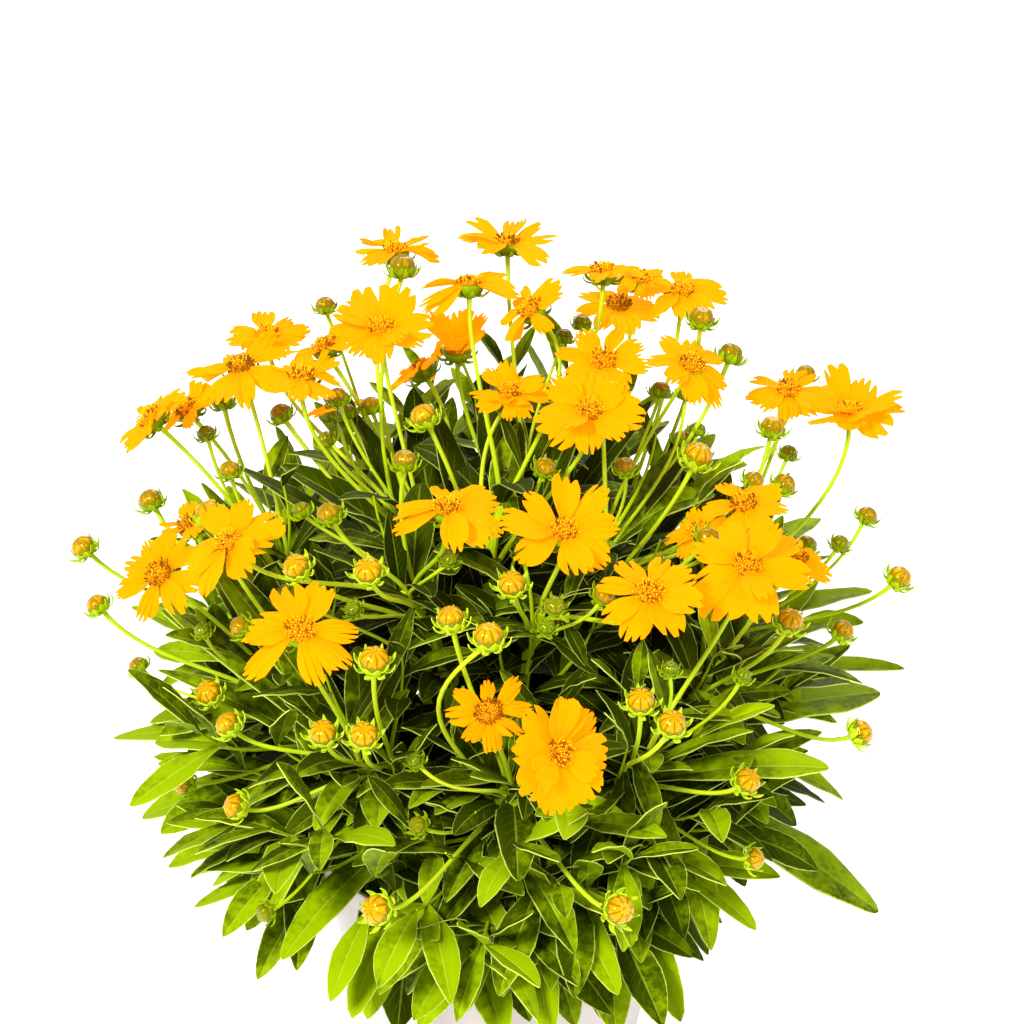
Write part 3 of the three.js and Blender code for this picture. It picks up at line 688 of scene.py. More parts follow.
def add_blade(tissue: Tissue, grid: Array, growth: Array, thickness: float) -> None:
    """Adds a thin closed blade whose middle surface is a grid of points, columns from its left.

    Args:
        tissue: what it is added to.
        grid: rows along the blade by columns across it, by 3.
        growth: as many values, by 3.
        thickness: in millimetres.
    """
    grid, growth = grid[:, ::-1], growth[:, ::-1]
    rows, columns = grid.shape[:2]
    normal = unit(np.cross(np.gradient(grid, axis=0), np.gradient(grid, axis=1)))
    shell = np.stack([grid + normal * thickness / 2, grid - normal * thickness / 2])
    count = rows * columns
    under = grid_faces(rows, columns)
    index = np.arange(count).reshape(rows, columns)
    rim = np.concatenate([index[:-1, 0], index[-1, :-1], index[:0:-1, -1], index[0, :0:-1]])
    onward = np.roll(rim, -1)
    edge = np.stack([onward, rim, rim + count, onward + count], axis=-1)
    tissue.add(shell, np.stack([growth, growth]), [under[:, ::-1], under + count, edge])


def add_rings(tissue: Tissue, rings: Array, growth: Array, slot: int = 0) -> None:
    """Adds a closed body through rings of as many points, with a flat face at each end.

    Args:
        tissue: what it is added to.
        rings: rings by points round each, by 3.
        growth: as many values, by 3.
        slot: the finish's slot.
    """
    count, sides = rings.shape[:2]
    faces = grid_faces(count, sides, wraps=True)
    start = np.arange(sides)[None, ::-1]
    end = np.arange(sides)[None, :] + (count - 1) * sides
    tissue.add(rings, growth, [faces, start, end], slot)


def add_tube(tissue: Tissue, path: Array, radii: Array, sides: int, tone: float,
             ribs: float = 0.0) -> None:
    """Adds a round tube along a path, faintly ribbed along its length.

    Args:
        tissue: what it is added to.
        path: the points of its middle line.
        radii: its radius at each.
        sides: how many points go round it.
        tone: its tone, for the finish.
        ribs: depth of its five ribs, as a share of the radius.
    """
    along = unit(np.gradient(path, axis=0))
    normal = unit(np.cross(along[0], [0.31, 0.57, 0.11]))
    angles = np.linspace(0, 2 * math.pi, sides, endpoint=False)
    wave = 1 + ribs * np.cos(5 * angles)
    rings = []
    for point, way, radius in zip(path, along, radii):
        normal = unit(normal - way * (normal @ way))
        ring = circle(normal, np.cross(way, normal), sides)
        rings.append(point + ring * (radius * wave)[:, None])
    add_rings(tissue, np.array(rings), ring_growth(np.array(rings), tone))


def turned(profile: Array, sides: int,
           lobes: Callable[[Array], Array] = np.ones_like) -> Array:
    """Returns the rings of a body turned round +Z.

    Args:
        profile: N by 2, radius and height, from the bottom up.
        sides: how many points go round.
        lobes: takes the angles round and gives a factor for the radius.

    Returns:
        Rings by points round each, by 3.
    """
    angles = np.linspace(0, 2 * math.pi, sides, endpoint=False)
    reach = profile[:, 0][:, None] * lobes(angles)[None, :]
    height = np.repeat(profile[:, 1][:, None], sides, axis=1)
    return np.stack([reach * np.cos(angles), reach * np.sin(angles), height], axis=-1)


def ring_growth(rings: Array, tone: float) -> Array:
    """Returns growth values for rings: along by ring, across by the way round, and a tone."""
    along = np.linspace(0, 1, rings.shape[0])[:, None]
    return growth_of(rings, along, np.arange(rings.shape[1]) / rings.shape[1] * 2 - 1, tone)


# ---- Finishes ----


class Graph:
    """Adds nodes to one node tree and links them as it goes."""

    def __init__(self, tree: bpy.types.NodeTree) -> None:
        """Keeps the tree that the nodes go into."""
        self.tree = tree

    def feed(self, socket: bpy.types.NodeSocket, value: Value) -> None:
        """Links a socket, or sets its value.

        Args:
            socket: the socket.
            value: a number, a colour or a socket.
        """
        if isinstance(value, bpy.types.NodeSocket):
            self.tree.links.new(value, socket)
        elif value is not None:
            socket.default_value = value

    def add(self, kind: str, *inputs: Value, **settings: object) -> bpy.types.Node:
        """Adds a node.

        Args:
            kind: its type, without the word that all shader nodes start with.
            inputs: what goes into its sockets, in their order.
            settings: its other settings, by name.

        Returns:
            The new node.
        """
        node = self.tree.nodes.new("ShaderNode" + kind)
        for key, value in settings.items():
            setattr(node, key, value)
        for socket, value in zip(node.inputs, inputs):
            self.feed(socket, value)
        return node

    def math(self, operation: str, a: Value, b: Value = None) -> Socket:
        """Returns the result of a sum on one or two values."""
        return self.add("Math", a, b, operation=operation).outputs[0]

    def plus(self, a: Value, b: Value) -> Socket:
        """Returns a and b together."""
        return self.math("ADD", a, b)

    def minus(self, a: Value, b: Value) -> Socket:
        """Returns a less b."""
        return self.math("SUBTRACT", a, b)

    def times(self, a: Value, b: Value) -> Socket:
        """Returns a times b."""
        return self.math("MULTIPLY", a, b)

    def size(self, a: Value) -> Socket:
        """Returns a without its sign."""
        return self.math("ABSOLUTE", a)

    def span(self, value: Value, low: Value, high: Value, start: Value = 0.0, end: Value = 1.0
             ) -> Socket:
        """Returns a value moved smoothly from the span low to high to the span start to end.

        Args:
            value: a number, a colour or a socket.
            low: where its span starts.
            high: where its span ends.
            start: what low turns into.
            end: what high turns into.

        Returns:
            The moved value.
        """
        moved = self.add("MapRange", value, low, high, start, end,
                         interpolation_type="SMOOTHSTEP")
        return moved.outputs[0]

    def mix(self, share: Value, a: Value, b: Value) -> Socket:
        """Returns the colour at a share of the way from a to b.

        Args:
            share: how much of b.
            a: the first colour.
            b: the other.

        Returns:
            The colour.
        """
        node = self.tree.nodes.new("ShaderNodeMix")
        node.data_type = "RGBA"
        self.feed(node.inputs[0], share)
        for socket, value in zip(node.inputs[6:8], (a, b)):
            self.feed(socket, (*value, 1.0) if isinstance(value, tuple) else value)
        return node.outputs[2]

    def layered(self, colour: Value, *layers: tuple[Value, Value]) -> Socket:
        """Returns a colour with layers over it, each a share and a colour.

        Args:
            colour: the undermost.
            layers: from the undermost up.

        Returns:
            The colour.
        """
        for share, over in layers:
            colour = self.mix(share, colour, over)
        return colour

    def noise(self, vector: Value, scale: Value, detail: Value = 2.0, rough: Value = 0.5
              ) -> Socket:
        """Returns cloudy noise from 0 to 1."""
        return self.add("TexNoise", vector, None, scale, detail, rough).outputs[0]

    def growth(self) -> tuple[Socket, ...]:
        """Returns the along, across and tone values of the piece."""
        attribute = self.add("Attribute", attribute_name="growth").outputs["Vector"]
        return tuple(self.add("SeparateXYZ", attribute).outputs)

    def place(self, stretch: Sequence[float] = (1, 1, 1)) -> Socket:
        """Returns the place of a point on the object, in metres, stretched."""
        where = self.add("TexCoord").outputs["Object"]
        return self.add("VectorMath", where, tuple(stretch), operation="MULTIPLY").outputs[0]

    def joined(self, x: Value, y: Value, z: Value) -> Socket:
        """Returns a vector of three values."""
        return self.add("CombineXYZ", x, y, z).outputs[0]

    def group(self, tree: bpy.types.NodeTree, *inputs: Value) -> Sequence[Socket]:
        """Places a node group, with its inputs in order.

        Args:
            tree: the group.
            inputs: what goes into it.

        Returns:
            Its outputs.
        """
        node = self.tree.nodes.new("ShaderNodeGroup")
        node.node_tree = tree
        for socket, value in zip(node.inputs, inputs):
            self.feed(socket, value)
        return node.outputs


def shared_tree(build: Callable[..., dict[str, Socket]]) -> bpy.types.NodeTree:
    """Returns the node group of an effect that several materials use, built the first time.

    Args:
        build: takes a graph and the group's inputs, and returns its outputs by name. Its own name
            and those of its arguments name the group and its inputs.

    Returns:
        The group.
    """
    known = bpy.data.node_groups.get(build.__name__)
    if known:
        return known
    tree = bpy.data.node_groups.new(build.__name__, "ShaderNodeTree")
    for name in list(inspect.signature(build).parameters)[1:]:
        kind = "NodeSocketVector" if name == "vector" else "NodeSocketFloat"
        tree.interface.new_socket(name.title(), in_out="INPUT", socket_type=kind)
    graph = Graph(tree)
    made = build(graph, *list(tree.nodes.new("NodeGroupInput").outputs)[:-1])
    for name in made:
        tree.interface.new_socket(name, in_out="OUTPUT", socket_type="NodeSocketFloat")
    end = tree.nodes.new("NodeGroupOutput")
    for socket, value in zip(end.inputs, made.values()):
        graph.feed(socket, value)
    return tree


def patches(graph: Graph, vector: Socket, scale: Socket, detail: Socket, roughness: Socket,
            low: Socket, high: Socket, start: Socket, end: Socket) -> dict[str, Socket]:
    """Builds cloudy patches: the bare noise, and its span from low to high moved smoothly."""
    cloud = graph.noise(vector, scale, detail, roughness)
    return {"Cloud": cloud, "Amount": graph.span(cloud, low, high, start, end)}


def streaks(graph: Graph, along: Socket, across: Socket, tone: Socket, stretch: Socket,
            spread: Socket, scale: Socket, detail: Socket) -> dict[str, Socket]:
    """Builds streaks that run along a petal or a stalk."""
    where = graph.joined(graph.times(along, stretch), graph.times(across, spread), tone)
    return {"Streaks": graph.noise(where, scale, detail)}


@dataclass(frozen=True)
class Patches:
    """One finish's own values for the patches: clouds to the metre, and the two spans."""

    scale: float
    low: float
    high: float
    start: float = 0.0
    end: float = 1.0
    detail: float = 2.0
    roughness: float = 0.5

    def on(self, graph: Graph, vector: Value) -> Sequence[Socket]:
        """Places the patches in a material. Returns the bare noise and the smoothed amount."""
        return graph.group(shared_tree(patches), vector, self.scale, self.detail,
                           self.roughness, self.low, self.high, self.start, self.end)


@dataclass(frozen=True)
class Streaks:
    """One finish's own values for the streaks: how the growth is stretched, and the noise."""

    along: float
    across: float
    scale: float
    detail: float = 3.0

    def on(self, graph: Graph, *growth: Socket) -> Socket:
        """Places the streaks in a material, by along, across and tone."""
        return graph.group(shared_tree(streaks), *growth, self.along, self.across,
                           self.scale, self.detail)[0]


@dataclass(frozen=True)
class Surface:
    """What changes over a surface: its colour, and its roughness and height where they do."""

    colour: Socket
    roughness: Optional[Socket] = None
    height: Optional[Socket] = None


@dataclass(frozen=True)
class Finish:
    """A finish, as one material. Its relief and its scatter reach are in millimetres."""

    name: str
    roughness: float = 0.5
    bump: float = 0.3
    relief: float = 0.3
    specular: float = 0.5
    scatter: float = 0.0
    scatter_reach: float = 1.5
    scatter_spread: Colour = (1.0, 0.6, 0.2)
    # Emission in the surface's own colour: painted light on the plant's finishes, lifting their
    # shaded sides; on the floor, an even white.
    glow: float = 0.0
    tint: Colour = (1.0, 1.0, 1.0)

    def surface(self, graph: Graph) -> Surface:
        """Builds what changes over the surface."""
        raise NotImplementedError

    def material(self) -> bpy.types.Material:
        """Returns the material, made the first time.

        Returns:
            The material.
        """
        known = bpy.data.materials.get(self.name)
        if known:
            return known
        made = bpy.data.materials.new(self.name)
        made.use_nodes = True
        graph = Graph(made.node_tree)
        sockets = made.node_tree.nodes["Principled BSDF"].inputs
        surface = self.surface(graph)
        graph.feed(sockets["Base Color"], surface.colour)
        # The surface glows in its own colour, as strongly as the glow: painted light on the plant,
        # an even white on the floor.
        graph.feed(sockets["Emission Color"], surface.colour)
        rough = self.roughness if surface.roughness is None else surface.roughness
        graph.feed(sockets["Roughness"], rough)
        if surface.height is not None:
            bump = graph.add("Bump", self.bump, self.relief * MM)
            graph.feed(bump.inputs["Height"], surface.height)
            graph.feed(sockets["Normal"], bump.outputs[0])
        sockets["Emission Strength"].default_value = self.glow
        sockets["Specular IOR Level"].default_value = self.specular
        sockets["Specular Tint"].default_value = (*self.tint, 1.0)
        sockets["Subsurface Weight"].default_value = self.scatter
        sockets["Subsurface Radius"].default_value = self.scatter_spread
        sockets["Subsurface Scale"].default_value = self.scatter_reach * MM
        return made


@dataclass(frozen=True)
class PetalFinish(Finish):
    """A velvety golden petal, deeper towards its foot, with painted shade in its creases."""

    gold: Colour = (0.46, 0.169, 0.0003)
    deep: Colour = (0.46, 0.124, 0.0003)
    streaks: Streaks = Streaks(1.2, 9, 3.0)
    clouds: Patches = Patches(60, 0.35, 0.75, 0.0, 0.12)
    toned: Span = (0.0, 1.0, 0.0, 0.26)
    foot: Span = (0.45, 0.02, 0.0, 0.62)
    # crease: painted shade, deeper gold where the streaks run high, strongest from the foot to a
    # quarter of the way and gone at the tip.
    crease: Span = (0.52, 0.72, 0.0, 0.55)
    crease_reach: Span = (1.0, 0.25)
    velvet: Span = (0.2, 0.8, 0.6, 0.8)
    ribs: float = 6.0
    rib_waver: float = 0.6
    streak_height: float = 1.4

    def surface(self, graph: Graph) -> Surface:
        """Builds the gold with its streaks, darker foot and painted shade in its creases, and the
        ribs along the petal.

        Args:
            graph: the material's.

        Returns:
            What changes over the surface.
        """
        along, across, tone = graph.growth()
        streaks = self.streaks.on(graph, along, across, tone)
        # Painted shade in the creases.
        flush = graph.times(graph.span(streaks, *self.crease),
                            graph.span(along, *self.crease_reach))
        depth = graph.plus(graph.span(along, *self.foot), flush)
        _, clouds = self.clouds.on(graph, graph.place())
        shares = (graph.span(tone, *self.toned), clouds, graph.math("MINIMUM", depth, 1.0))
        colour = graph.layered(self.gold, *((share, self.deep) for share in shares))
        ribs = graph.add("TexWave", graph.joined(0, across, 0), self.ribs, self.rib_waver,
                         bands_direction="Y").outputs["Fac"]
        height = graph.plus(ribs, graph.times(streaks, self.streak_height))
        return Surface(colour, graph.span(streaks, *self.velvet), height)


@dataclass(frozen=True)
class DiscFinish(Finish):
    """Florets: brown at the foot, orange in the middle and gold at the tip."""

    brown: Colour = (0.10, 0.034, 0.002)
    orange: Colour = (0.80, 0.29, 0.002)
    gold: Colour = (0.92, 0.42, 0.004)
    middle: Span = (-0.35, 0.3)
    tip: Span = (0.35, 0.85)
    ripe: Span = (0.5, 0.95, 0.0, 0.9)
    grain: float = 900

    def surface(self, graph: Graph) -> Surface:
        """Builds the colours from foot to tip, and a fine grain.

        Args:
            graph: the material's.

        Returns:
            What changes over the surface.
        """
        along, _, tone = graph.growth()
        colour = graph.layered(
            self.brown, (graph.span(along, *self.middle), self.orange),
            (graph.span(along, *self.tip), self.gold), (graph.span(tone, *self.ripe), self.brown),
        )
        return Surface(colour, height=graph.noise(graph.place(), self.grain))


@dataclass(frozen=True)
class LeafFinish(Finish):
    """A leaf: deep green with a pale midrib, side veins and a pale margin of fine hairs."""

    # inner: the near black of painted shade deep in the bush, which the tone brings in by the
    # shadow span.
    inner: Colour = (0.005, 0.009, 0.0001)
    deep: Colour = (0.026, 0.046, 0.0002)
    fresh: Colour = (0.235, 0.345, 0.0006)
    pale: Colour = (0.50, 0.60, 0.04)
    rim: Colour = (0.58, 0.67, 0.11)
    mottle: Patches = Patches(85, 0.32, 0.68, 0.08, 0.38, detail=4.0, roughness=0.6)
    flecks: Patches = Patches(330, 0.35, 0.65, -0.09, 0.09, detail=3.0)
    # Painted shade towards the foot of the blade; painted light on one half of the fold and
    # painted shade on the other.
    foot: Span = (0.0, 0.45, -0.16, 0.0)
    halves: Span = (-0.05, 0.05, -0.13, 0.10)
    tone_share: float = 0.8
    shades: Span = (0.25, 1.05)
    shadow: Span = (0.05, -0.85, 0.0, 0.9)
    veins: float = 11
    vein_slant: float = 2.2
    vein: Span = (0.16, 0.0)
    vein_reach: Span = (0.9, 0.1, 0.0, 0.2)
    vein_depth: float = 2.2
    midrib: Span = (0.08, 0.02, 0.0, 0.28)
    midrib_depth: float = 1.5
    hairs: float = 700
    hair_reach: float = 0.10
    margin: Span = (0.975, 1.04)
    # The margin shows less on leaves darkened by painted shade.
    margin_tone: Span = (-0.7, 0.5, 0.3, 0.75)
    grain: float = 1500
    grain_height: float = 0.35
    gloss: Span = (0.3, 0.7, 0.38, 0.56)

    def shade(self, graph: Graph, mottle: Socket) -> Socket:
        """Returns how light the blade is: by its tone, in patches, with painted shade at its foot
        and on one half of the fold, and painted light on the other half.

        Args:
            graph: the material's.
            mottle: the amount of the larger patches.

        Returns:
            The shade, mostly from 0 to 1.
        """
        along, across, tone = graph.growth()
        _, flecks = self.flecks.on(graph, graph.place())
        sides = graph.plus(graph.span(along, *self.foot), graph.span(across, *self.halves))
        patches = graph.plus(graph.plus(mottle, flecks), sides)
        return graph.plus(graph.times(tone, self.tone_share), patches)

    def surface(self, graph: Graph) -> Surface:
        """Builds the blade's greens with their painted shade, then its side veins, its midrib and
        its margin.

        Args:
            graph: the material's.

        Returns:
            What changes over the surface.
        """
        along, across, tone = graph.growth()
        beside = graph.size(across)
        cloud, mottle = self.mottle.on(graph, graph.place())
        shade = graph.span(self.shade(graph, mottle), *self.shades)
        slant = graph.minus(graph.times(along, self.veins), graph.times(beside, self.vein_slant))
        wave = graph.size(graph.math("SINE", graph.times(slant, math.pi)))
        vein = graph.times(graph.span(wave, *self.vein), graph.span(beside, *self.vein_reach))
        midrib = graph.span(beside, *self.midrib)
        hairs = graph.times(graph.noise(graph.place(), self.hairs), self.hair_reach)
        edge = graph.span(graph.plus(beside, hairs), *self.margin)
        margin = graph.times(edge, graph.span(tone, *self.margin_tone))
        # The greens run from deep to fresh by the shade; the tone's painted shade takes leaves
        # deep in the bush to the near-black inner green.
        colour = graph.layered(
            self.deep, (shade, self.fresh), (graph.span(tone, *self.shadow), self.inner),
            (vein, self.pale), (midrib, self.pale), (margin, self.rim),
        )
        grain = graph.times(graph.noise(graph.place(), self.grain), self.grain_height)
        height = graph.minus(grain, graph.times(vein, self.vein_depth))
        height = graph.minus(height, graph.times(midrib, self.midrib_depth))
        return Surface(colour, graph.span(cloud, *self.gloss), height)


@dataclass(frozen=True)
class StalkFinish(Finish):
    """Stems, stalks and bracts: lime green, streaked along their length."""

    lime: Colour = (0.40, 0.55, 0.003)
    deep: Colour = (0.24, 0.34, 0.002)
    dark: Colour = (0.10, 0.155, 0.001)
    pale: Colour = (0.60, 0.70, 0.03)
    streaks: Streaks = Streaks(3, 8, 2.5)
    streaked: Span = (0.3, 0.75)
    lit: Span = (0.0, 1.0, 0.0, 0.8)
    shaded: Span = (0.0, -0.8)
    foot: Span = (0.35, 0.0, 0.0, 0.5)
    gloss: Span = (0.3, 0.7, 0.32, 0.5)

    def surface(self, graph: Graph) -> Surface:
        """Builds the streaked green, lighter or darker by tone and deeper at the foot.

        Args:
            graph: the material's.

        Returns:
            What changes over the surface.
        """
        along, across, tone = graph.growth()
        streaks = self.streaks.on(graph, along, across, tone)
        colour = graph.layered(
            self.lime, (graph.span(streaks, *self.streaked), self.deep),
            (graph.span(tone, *self.lit), self.pale), (graph.span(tone, *self.shaded), self.dark),
            (graph.span(along, *self.foot), self.deep),
        )
        return Surface(colour, graph.span(streaks, *self.gloss), streaks)


@dataclass(frozen=True)
class BudFinish(Finish):
    """A glossy bud: gold lobes with brown folds between them darkened as painted shade, clasped by
    green bracts below.
    """

    gold: Colour = (0.58, 0.285, 0.0005)
    olive: Colour = (0.155, 0.118, 0.0005)
    brown: Colour = (0.20, 0.118, 0.0005)
    seam: Colour = (0.06, 0.038, 0.0005)
    green: Colour = (0.15, 0.22, 0.001)
    moss: Colour = (0.05, 0.08, 0.0005)
    mottle: Patches = Patches(350, 0.45, 0.75, 0.0, 0.35, detail=3.0)
    mottle_height: float = 0.6
    sides: Patches = Patches(2.2, 0.4, 0.7, -0.25, 0.35)
    side_share: float = 2.5
    ripe: Span = (0.3, 0.95, 0.0, 0.85)
    young: Span = (1.1, 1.7)
    upper: Span = (0.2, 0.6, 0.3, 1.0)
    # fold: painted shade, brown in the folds between the lobes on the upper part; line: a thin
    # dark seam in each.
    fold: Span = (0.7, 0.05, 0.0, 0.9)
    line: Span = (0.16, 0.0, 0.0, 0.25)
    clasp_point: float = 0.16
    clasp_shadow: Span = (0.52, 0.36)
    clasp: Span = (0.38, 0.30)

    def surface(self, graph: Graph) -> Surface:
        """Builds the skin by the bud's age, the painted shade in the folds between its lobes, and
        its clasp.

        Args:
            graph: the material's.

        Returns:
            What changes over the surface.
        """
        along, across, tone = graph.growth()
        ridge = graph.size(graph.math("SINE", graph.times(across, LOBES / 2 * math.pi)))
        cloud, mottle = self.mottle.on(graph, graph.place())
        where = graph.joined(graph.times(across, self.side_share), along, tone)
        _, sides = self.sides.on(graph, where)
        young = graph.span(tone, *self.young)
        shadow = graph.mix(young, self.brown, self.moss)
        upper = graph.span(along, *self.upper)
        clasp = graph.minus(along, graph.times(ridge, self.clasp_point))
        colour = graph.layered(
            self.gold, (graph.span(graph.plus(tone, sides), *self.ripe), self.olive),
            (young, self.green), (mottle, shadow),
            (graph.times(graph.span(ridge, *self.fold), upper), shadow),
            (graph.times(graph.span(ridge, *self.line), upper), self.seam),
            (graph.span(clasp, *self.clasp_shadow), shadow),
            (graph.span(clasp, *self.clasp), self.green),
        )
        return Surface(colour, height=graph.plus(graph.times(cloud, self.mottle_height), ridge))


@dataclass(frozen=True)
class PotFinish(Finish):
    """Pale moulded plastic outside, stained dark where the soil and water reach inside."""

    pale: Colour = (0.46, 0.41, 0.385)
    warm: Colour = (0.35, 0.285, 0.245)
    stain: Colour = (0.060, 0.032, 0.018)
    scuff_stretch: tuple[float, float, float] = (1, 1, 0.25)
    scuffs: Patches = Patches(40, 0.5, 0.8, 0.0, 0.35, detail=5.0, roughness=0.65)
    specks: Patches = Patches(900, 0.66, 0.74, 0.0, 0.4, detail=1.0)
    tide_scale: float = 70
    tide_detail: float = 4.0
    tide_reach: float = 0.25
    tide: Span = (0.55, 0.75)
    gloss: Span = (0.3, 0.8, 0.38, 0.6)

    def surface(self, graph: Graph) -> Surface:
        """Builds the pale plastic with scuffs and specks, and the stain inside.

        Args:
            graph: the material's.

        Returns:
            What changes over the surface.
        """
        _, _, tone = graph.growth()
        wear, scuffs = self.scuffs.on(graph, graph.place(self.scuff_stretch))
        dust, specks = self.specks.on(graph, graph.place())
        ragged = graph.noise(graph.place(), self.tide_scale, self.tide_detail)
        tide = graph.plus(tone, graph.times(ragged, self.tide_reach))
        colour = graph.layered(self.pale, (scuffs, self.warm), (specks, self.warm),
                               (graph.span(tide, *self.tide), self.stain))
        return Surface(colour, graph.span(wear, *self.gloss), dust)


@dataclass(frozen=True)
class SoilFinish(Finish):
    """Dark peat with pale fibres and specks."""

    dark: Colour = (0.012, 0.007, 0.004)
    brown: Colour = (0.060, 0.034, 0.019)
    straw: Colour = (0.28, 0.19, 0.10)
    clods: Patches = Patches(160, 0.35, 0.7, detail=6.0, roughness=0.7)
    toned: Span = (0.2, 1.0, 0.0, 0.6)
    fibre_stretch: tuple[float, float, float] = (1, 0.2, 1)
    fibres: Patches = Patches(900, 0.68, 0.76, 0.0, 0.6)

    def surface(self, graph: Graph) -> Surface:
        """Builds the cloddy earth and the fibres in it.

        Args:
            graph: the material's.

        Returns:
            What changes over the surface.
        """
        _, _, tone = graph.growth()
        height, clods = self.clods.on(graph, graph.place())
        _, fibres = self.fibres.on(graph, graph.place(self.fibre_stretch))
        colour = graph.layered(self.dark, (clods, self.brown),
                               (graph.span(tone, *self.toned), self.brown), (fibres, self.straw))
        return Surface(colour, height=height)


@dataclass(frozen=True)
class FloorFinish(Finish):
    """A plain pale floor."""

    white: Colour = (0.93, 0.93, 0.93)
    worn: Colour = (0.90, 0.90, 0.90)
    wear: float = 0.05
    wear_scale: float = 0.8

    def surface(self, graph: Graph) -> Surface:
        """Builds the white, a trace greyer in places."""
        soft = graph.noise(graph.place(), self.wear_scale, 1.0)
        return Surface(graph.mix(graph.times(soft, self.wear), self.white, self.worn))


# The glow of the petals, florets, stalks and buds is painted light: it lifts their shaded sides,
# on the petals as light through them would.
PETAL_GOLD = PetalFinish(
    "petal_gold", bump=0.5, relief=0.2, specular=0.03, scatter=0.3, glow=1.7,
    tint=(1.0, 0.7, 0.02),
)
FLORETS = DiscFinish(
    "disc_florets", roughness=0.6, bump=0.3, relief=0.2, specular=0.12, glow=0.16,
    tint=(1.0, 0.7, 0.1),
)
LEAF_GREEN = LeafFinish(
    "leaf_green", bump=0.6, relief=0.25, specular=0.1, tint=(0.9, 1.0, 0.03),
)
STALK_LIME = StalkFinish(
    "stalk_lime", bump=0.25, relief=0.1, specular=0.14, glow=0.08, tint=(0.95, 1.0, 0.15),
)
BUD_GLOSS = BudFinish(
    "bud_gloss", roughness=0.15, bump=0.2, relief=0.12, glow=0.06, tint=(1.0, 0.86, 0.2),
)
POT_PALE = PotFinish("pot_pale", bump=0.15, relief=0.1, specular=0.4)
PEAT = SoilFinish("peat", roughness=0.95, bump=1.0, relief=1.2, specular=0.1)
FLOOR_WHITE = FloorFinish("floor_white", roughness=0.9, glow=0.5)


# ---- The plant as it stands ----


class Packed:
    """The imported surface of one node, which tells which of some places it fills."""

    def __init__(self, name: str) -> None:
        """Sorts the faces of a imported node, in millimetres.

        Args:
            name: the node's.
        """
        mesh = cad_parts[name].data
        points = np.empty(len(mesh.vertices) * 3)
        mesh.vertices.foreach_get("co", points)
        faces = [tuple(polygon.vertices) for polygon in mesh.polygons]
        self.tree = BVHTree.FromPolygons((points.reshape(-1, 3) / MM).tolist(), faces)

    def off(self, points: Array) -> float:
        """Returns how far the farthest of some points lies from the surface."""
        return max(self.tree.find_nearest(point)[3] for point in points.tolist())


@dataclass
class Head:
    """A bloom or a bud at the end of a stalk. A bud has a size, a bloom a radius and a number."""

    at: Array
    neck: float
    facing: Optional[Array] = None
    size: float = 0.0
    index: int = -1
    radius: float = 0.0
    rise: float = 0.0
    tone: float = 0.0

    @classmethod
    def bloom(cls, index: int, x: float, y: float, z: float, bearing: float, lean: float,
              radius: float, rise: float) -> "Head":
        """Returns the head of a bloom from its number and its row in the plan."""
        return cls(np.array([x, y, z], float), STEM.bloom_neck, leaning(bearing, lean),
                   index=index, radius=radius, rise=rise)

    @classmethod
    def bud(cls, x: float, y: float, z: float, size: float, tone: float) -> "Head":
        """Returns the head of a bud from its row in the plan and its tone."""
        return cls(np.array([x, y, z], float), STEM.bud_neck, size=size, tone=tone)

    @property
    def room(self) -> float:
        """How near the added leaves may come to its middle."""
        bud_room = self.size / 2 + SMALL.bud_room
        return self.radius * SMALL.bloom_room if self.radius else bud_room


@dataclass
class Stalk:
    """A bare stalk from a stem to a head."""

    curve: Curve
    head: Head


@dataclass
class Leaf:
    """A leaf on its arched midrib."""

    midrib: Curve
    bearing: float
    half_width: float
    belly: float
    roll: float
    tone: float
    blunt: float = LEAF.blunt

    def half_widths(self, shares: Array) -> Array:
        """Returns half its width at some shares of its length.

        Args:
            shares: from 0 to 1.

        Returns:
            One half width for each.
        """
        rising = np.sin(np.clip(shares / self.belly, 0, 1) * math.pi / 2) ** LEAF.slender
        after = np.clip((shares - self.belly) / (1 - self.belly), 0, 1)
        return self.half_width * (rising * np.cos(after * math.pi / 2) ** self.blunt)


